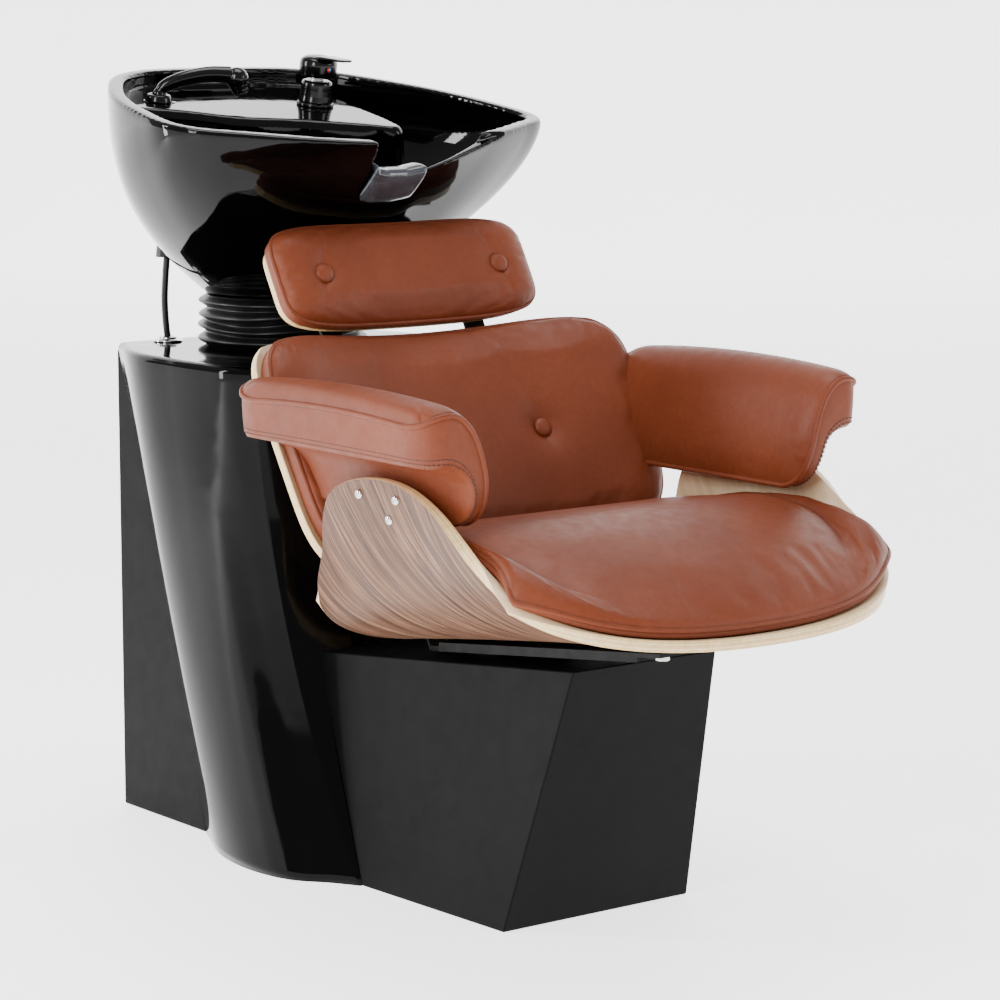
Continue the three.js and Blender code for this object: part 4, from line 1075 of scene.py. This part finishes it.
def basin_body():
    rings = [outer_ring(depth) for depth in np.linspace(0, 1, 46)]
    lip = moved(np.column_stack([rim_loop(2.5), np.full(2 * RIM_POINTS - 2, 2.2)]), BASIN_FRAME)
    return loft("basin_glaze", [lip, *rings], [CERAMIC])


def bowl_hollow():
    rim = rim_loop(RIM_WIDTH)
    x, v = rim.T
    angle = np.arctan2(v - DRAIN_AT[1], x - DRAIN_AT[0])
    floor = np.stack([DRAIN_AT[0] + 46 * np.cos(angle), DRAIN_AT[1] + 46 * np.sin(angle)], -1)
    rings = []
    for depth in [-.12, *np.linspace(0, 1, 40)]:
        share = (1 - max(0, depth) ** (fall(x, v) + .5))[:, None]
        rings.append(np.column_stack([lerp(floor, rim, share), np.full(len(rim), -depth * BOWL_DEPTH)]))
    return loft("bowl_hollow", moved(rings, BASIN_FRAME))


def deck_block():
    smooth = catmull(DECK, np.linspace(0, 1, 120))
    x, v = smooth.T

    def ring(w, grow):
        return np.column_stack([x + grow * smoothstep(x, 50, 70), v - grow * (1 - smoothstep(v, 90, 110)),
                                np.full(len(x), w)])
    return loft("deck", moved([ring(-260, 22), ring(-DECK_DROP - 8, 3), ring(-DECK_DROP, -2)], BASIN_FRAME))


def notch_block():
    low = catmull(NOTCH, np.linspace(0, 1, 60))
    ring = [(x, -drop) for x, drop in low] + [(172, 40), (-72, 40)]
    return loft("notch", moved([[(x, v, w) for x, w in ring] for v in (-330, -212)], BASIN_FRAME))


def deck_bore(at, radius, low, high):
    shaft = [(0, low), (radius, low), (radius, high), (0, high)]
    return lathe("bore", shaft, BASIN_FRAME @ Matrix.Translation((*at, 0)), [CERAMIC], 32)


def basin():
    """The fired ceramic: one skin with every edge rounded by the glaze."""
    body = basin_body()
    boolean(body, boolean(bowl_hollow(), deck_block()))
    boolean(body, notch_block())
    boolean(body, deck_bore(DRAIN_AT, 24, -270, -150))
    boolean(body, deck_bore(DRAIN_AT, 33, -BOWL_DEPTH - 5, -150))
    boolean(body, deck_bore(HOLDER_AT, 14.6, -60, 10))
    skirt = lathe("skirt", [(0, 690), (86, 690), (86, 744), (0, 744)], DESIGN_FRAME, [CERAMIC])
    skirt.data.transform(Matrix.Translation((0, PIVOT[1] * MM, 0)))
    boolean(body, skirt)
    voxel_union(body, .0021, 20)
    body.data.materials.clear()
    body.data.materials.append(CERAMIC)
    dress(body, BASIN, "black_ceramic", "basin")


def neck_rest():
    """The gel saddle over the notch floor and down the front wall."""
    pivot_front = PIVOT[1] - NECK_RADIUS
    inverse = BASIN_FRAME.inverted()

    def at_depth(depth):
        rim = moved([(0, RIM[0][1], 0)], BASIN_FRAME)[0]
        y = lerp((pivot_front - CENTRE_Y) * MM, rim[1], 1 - depth ** fall(0, RIM[0][1]))
        return moved([(0, y, lerp(rim[2], NECK_Z * MM, depth))], inverse)[0]
    table = np.array([at_depth(depth)[1:] for depth in np.linspace(0, 1, 80)])
    floor_x, floor_drop = np.array(NOTCH, float).T
    across = lerp(-54, 27, (dense_ends(40) + 1) / 2)
    outside = [(-30, 4), (-18, 7), (-2, 8), (5, 6), (9, -4), (10, -20), (8, -42)]
    inside = [(-30, .5), (-18, .5), (-8, .5), (.5, .5), (1, -6), (1, -20), (1, -42)]
    outside, inside = (catmull(section, np.linspace(0, 1, 60)) for section in (outside, inside))

    def surface(section, fullness):
        x, k = np.meshgrid(across, np.arange(len(section)))
        floor = -np.interp(x, floor_x, floor_drop)
        w = floor + section[k, 1]
        wall = np.interp(-np.minimum(w, floor), -table[:, 1], table[:, 0])
        side = np.clip((1 - np.abs(2 * (x + 54) / 81 - 1)) / .16, 0, 1)
        end = np.clip(np.minimum(k, len(section) - 1 - k) / 6, 0, 1)
        thin = np.sqrt(1 - (1 - side) ** 2) * np.sqrt(1 - (1 - end) ** 2) if fullness else 1
        return np.stack([x, wall - section[k, 0], w], -1), thin
    low = surface(inside, False)[0]
    high, thin = surface(outside, True)
    high = low + (high - low) * (.35 + .65 * thin)[..., None]
    rows, cols = high.shape[:2]
    r, c = border_loop(rows, cols)
    grid, n = grid_faces(rows, cols), rows * cols
    top, bottom = r * cols + c, n + r * cols + c
    faces = [*grid, *(grid[:, ::-1] + n), *np.stack([top, bottom, np.roll(bottom, -1), np.roll(top, -1)], -1)]
    points = moved(np.concatenate([high.reshape(-1, 3), low.reshape(-1, 3)]), BASIN_FRAME)
    piece = new_object("neck_rest_gel", points, faces, [GEL])
    smooth = piece.modifiers.new("round", "SMOOTH")
    smooth.iterations = 3
    applied(piece)
    dress(piece, "gel_rest", "grey_gel", "neck_rest")


# ---- bellows and hoses ---------------------------------------------------------------------------
def bellows():
    """A rubber sleeve whose folds have settled unevenly."""
    low, high, folds, sides = COLUMN_TOP + .4, NECK_Z - .8, 4, 120
    t = np.linspace(0, 1, 120)[:, None]
    angle = np.linspace(0, TURN, sides, endpoint=False)[None]
    sag = .22 * np.sin(angle * 2 + .6) + .12 * np.sin(angle * 5 + 2)
    phase = folds * TURN * t + sag * np.sin(math.pi * t) * 2.4
    ridge = .5 - .5 * np.cos(phase)
    radius = 102.5 + 10.5 * ridge ** .8 + 1.6 * np.sin(3 * angle + 4 * t) * np.sin(math.pi * t)
    z = lerp(low, high, t) + 1.8 * np.sin(2 * angle + 9 * t) * np.sin(math.pi * t)
    outer = np.stack([radius * np.cos(angle), radius * np.sin(angle), z + 0 * angle], -1)
    inner = outer[::-1] * (.955, .955, 1)
    rings = np.concatenate([outer, inner])
    rings[..., 1] += PIVOT[1]
    faces = grid_faces(len(rings), sides, closed=True).tolist()
    last = (len(rings) - 1) * sides
    faces += [[last + i, last + (i + 1) % sides, (i + 1) % sides, i] for i in range(sides)]
    piece = new_object("bellows_sleeve", to_row(rings), faces, [RUBBER])
    tilting(piece, BELLOWS_FOOT, BELLOWS_HEAD, "black_rubber", "bellows")


WASTE_ROUTE = [(0, 612, 688), (0, 610, 640), (0, 600, 560), (0, 560, 430), (0, 520, 300), (0, 500, 180),
               (0, 500, 60)]


def inner_hoses():
    def hose(name, route, radius, material, slot, node):
        path = evenly(catmull(to_row(route), np.linspace(0, 1, 300)), 120)
        tilting(tube(name, path, radius * MM, [material], sides=16), BELLOWS_FOOT, BELLOWS_HEAD, slot, node)
    hose("waste_hose_skin", WASTE_ROUTE, 17, PIPE, "grey_pipe", "waste_hose")
    for side, name in ((-1, "supply_hose_hot"), (1, "supply_hose_cold")):
        route = [(40 + side * 9, 700, 880), (30 + side * 14, 718, 800), (20 + side * 16, 722, 720),
                 (10 + side * 20, 715, 640), (side * 30, 690, 520), (side * 36, 650, 380),
                 (side * 36, 600, 240), (side * 40, 570, 120)]
        hose(f"{name}_skin", route, 6, RUBBER, "black_rubber", name)


def grommet():
    profile = [(7.5, -6), (15, -6), (15, .3), (20, .3), (20, 2.2), (17, 3.6), (13.4, 4.2), (12.6, 6.5),
               (9.5, 7.2), (7.5, 6.4), (7.5, -6)]
    matrix = DESIGN_FRAME @ Matrix.Translation((*HOSE_OUT, COLUMN_TOP))
    dress(lathe("hose_grommet_ring", rounded_profile(profile, .8), matrix, [CHROME], 64), ROOT, "chrome_trim",
          "hose_grommet")


# ---- mixer ---------------------------------------------------------------------------------------
def mixer():
    place = BASIN_FRAME @ Matrix.Translation((*MIXER_AT, -DECK_DROP))
    ring = [(15.5, .3), (25, .3), (25, 3.6), (23.6, 5), (15.5, 5), (15.5, .3)]
    collar = lathe("mixer_escutcheon_ring", rounded_profile(ring, .8), place, [FITTING], 96)
    dress(collar, BASIN, "black_fitting", "mixer_escutcheon")
    body = [(0, -22), (14, -22), (14, 5.3), (23, 5.3), (23, 7), (21.8, 14), (21, 22), (20.5, 30),
            (19.4, 32.6), (17, 34), (0, 34)]
    dress(lathe("mixer_body_skin", rounded_profile(body, 1.2), place, [FITTING], 96), BASIN, "black_fitting",
          "mixer_body")
    cap = [(0, 58), (19, 58), (19, 40), (23.6, 40), (24.8, 42), (25.2, 46), (25.4, 56), (24.6, 60.5),
           (22, 63.8), (17, 66), (10, 67.3), (0, 68)]
    dome = lathe("mixer_lever_skin", rounded_profile(cap, 1.4), place, [FITTING], 96)
    dress(dome, "mixer_cap", "black_fitting", "mixer_lever")
    lever_bar(place)
    mark = [(0, 0), (3, 0), (3, .7), (2.6, 1), (0, 1.1)]
    facing = place @ Matrix.Translation((0, -25.3, 52)) @ Matrix.Rotation(math.pi / 2, 4, "X")
    dress(lathe("mixer_indicator_dot", mark, facing, [MARK], 32), "mixer_cap", "red_mark", "mixer_indicator")


def lever_bar(place):
    """The flat handle: it grows from the cap's top and thins to a rounded tip."""
    line = catmull([(4, 61, 15, 3.0), (-14, 66, 15, 3.0), (-34, 68.5, 13.2, 2.4), (-56, 70.5, 11.6, 2.0),
                    (-68, 71, 9.4, 1.7)], np.linspace(0, 1, 40))
    rings = []
    for k, (v, w, half, thick) in enumerate(line):
        tip = min(1, (len(line) - 1 - k) / 7)
        shrink = math.sqrt(max(.02, 1 - (1 - tip) ** 2))
        angle = np.linspace(0, TURN, 32, endpoint=False)
        x = half * shrink * np.sign(np.cos(angle)) * np.abs(np.cos(angle)) ** .45
        z = thick * shrink * np.sign(np.sin(angle)) * np.abs(np.sin(angle)) ** .6
        rings.append(np.stack([x, np.full(32, v), w + z], -1))
    dress(loft("mixer_lever_bar", moved(rings, place), [FITTING]), "mixer_cap", "black_fitting")


# ---- hand shower ---------------------------------------------------------------------------------
def hand_shower():
    place = BASIN_FRAME @ Matrix.Translation((*HOLDER_AT, -DECK_DROP))
    cup = [(10, -14), (14, -14), (14, .3), (18, .3), (18, 2), (16.4, 7), (15, 9.4), (12, 10), (10, 9.6),
           (10, -14)]
    dress(lathe("handset_holder_cup", rounded_profile(cup, .9), place, [FITTING], 72), BASIN, "black_fitting",
          "handset_holder")
    route = [(0, 0, -12), (0, 0, 4), (1, 0, 12), (6, -2, 20), (26, -11, 31), (58, -26, 40), (84, -38, 41)]
    handle = catmull(route, np.linspace(0, 1, 70))
    girth = MM * np.interp(np.linspace(0, 1, 70), [0, .3, .38, .65, 1], [9, 9, 7.4, 9.6, 11.5])
    stem = tube("handset_skin", moved(handle, place), girth, [FITTING], sides=36)
    size = 15
    arc = [(size * math.cos(a), size * math.sin(a)) for a in np.linspace(-1.45, 1.45, 24)]
    ball = [(0, -size), *arc, (0, size)]
    head = lathe("ball", ball, place @ Matrix.Translation((92, -42, 37)), [FITTING], 48)
    aim = Vector((4, -3, -14)).normalized()
    turn = Vector((0, 0, 1)).rotation_difference(aim).to_matrix().to_4x4()
    nozzle = [(0, -2), (12.5, -2), (12.2, 6), (11.2, 10), (10.8, 14.6), (0, 14.6)]
    spout = lathe("spout", nozzle, place @ Matrix.Translation((93, -43, 33)) @ turn, [FITTING], 48)
    piece = joined("handset_skin", [stem, head, spout])
    voxel_union(piece, .0009, 5)
    piece.data.materials.clear()
    piece.data.materials.append(FITTING)
    dress(piece, "hand_shower", "black_fitting", "handset")


# ---- CAD pieces that keep their shape --------------------------------------------------------------
KEPT = [
    (STEEL, ["base_plate", "seat_post", "column_upright_left", "column_upright_right", "column_head_frame",
             "seat_plate", "headrest_post_left", "headrest_post_right", "back_bracket_left",
             "back_bracket_right", "tilt_lugs", "tilt_bracket_left", "tilt_bracket_right"]),
    (ZINC, ["tilt_pin", "panel_screw_1", "panel_screw_2", "seat_bolt_1", "seat_bolt_2", "mixer_stem"]),
    (RUBBER, ["hose_outlet_bush", "handset_spray_face"]),
    (SATIN, ["access_panel"]), (CHROME, ["strainer"]), (PIPE, ["waste_tailpiece"]),
]
SOFTENED = {"seat_plate": .8, "headrest_post_left": .9, "headrest_post_right": .9, "back_bracket_left": .8,
            "back_bracket_right": .8, "access_panel": 1, "seat_bolt_1": .6, "seat_bolt_2": .6,
            "panel_screw_1": .4, "panel_screw_2": .4}


def kept_pieces():
    for material, names in KEPT:
        for name in names:
            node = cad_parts[name]
            node.data.materials.clear()
            node.data.materials.append(material)
            if name in SOFTENED:
                bevelled(node, SOFTENED[name], 2)


column_shell()
covers()
seat_shell()
seat_back_and_headrest()
arms()
arm_screws()
basin()
neck_rest()
bellows()
inner_hoses()
grommet()
mixer()
hand_shower()
kept_pieces()
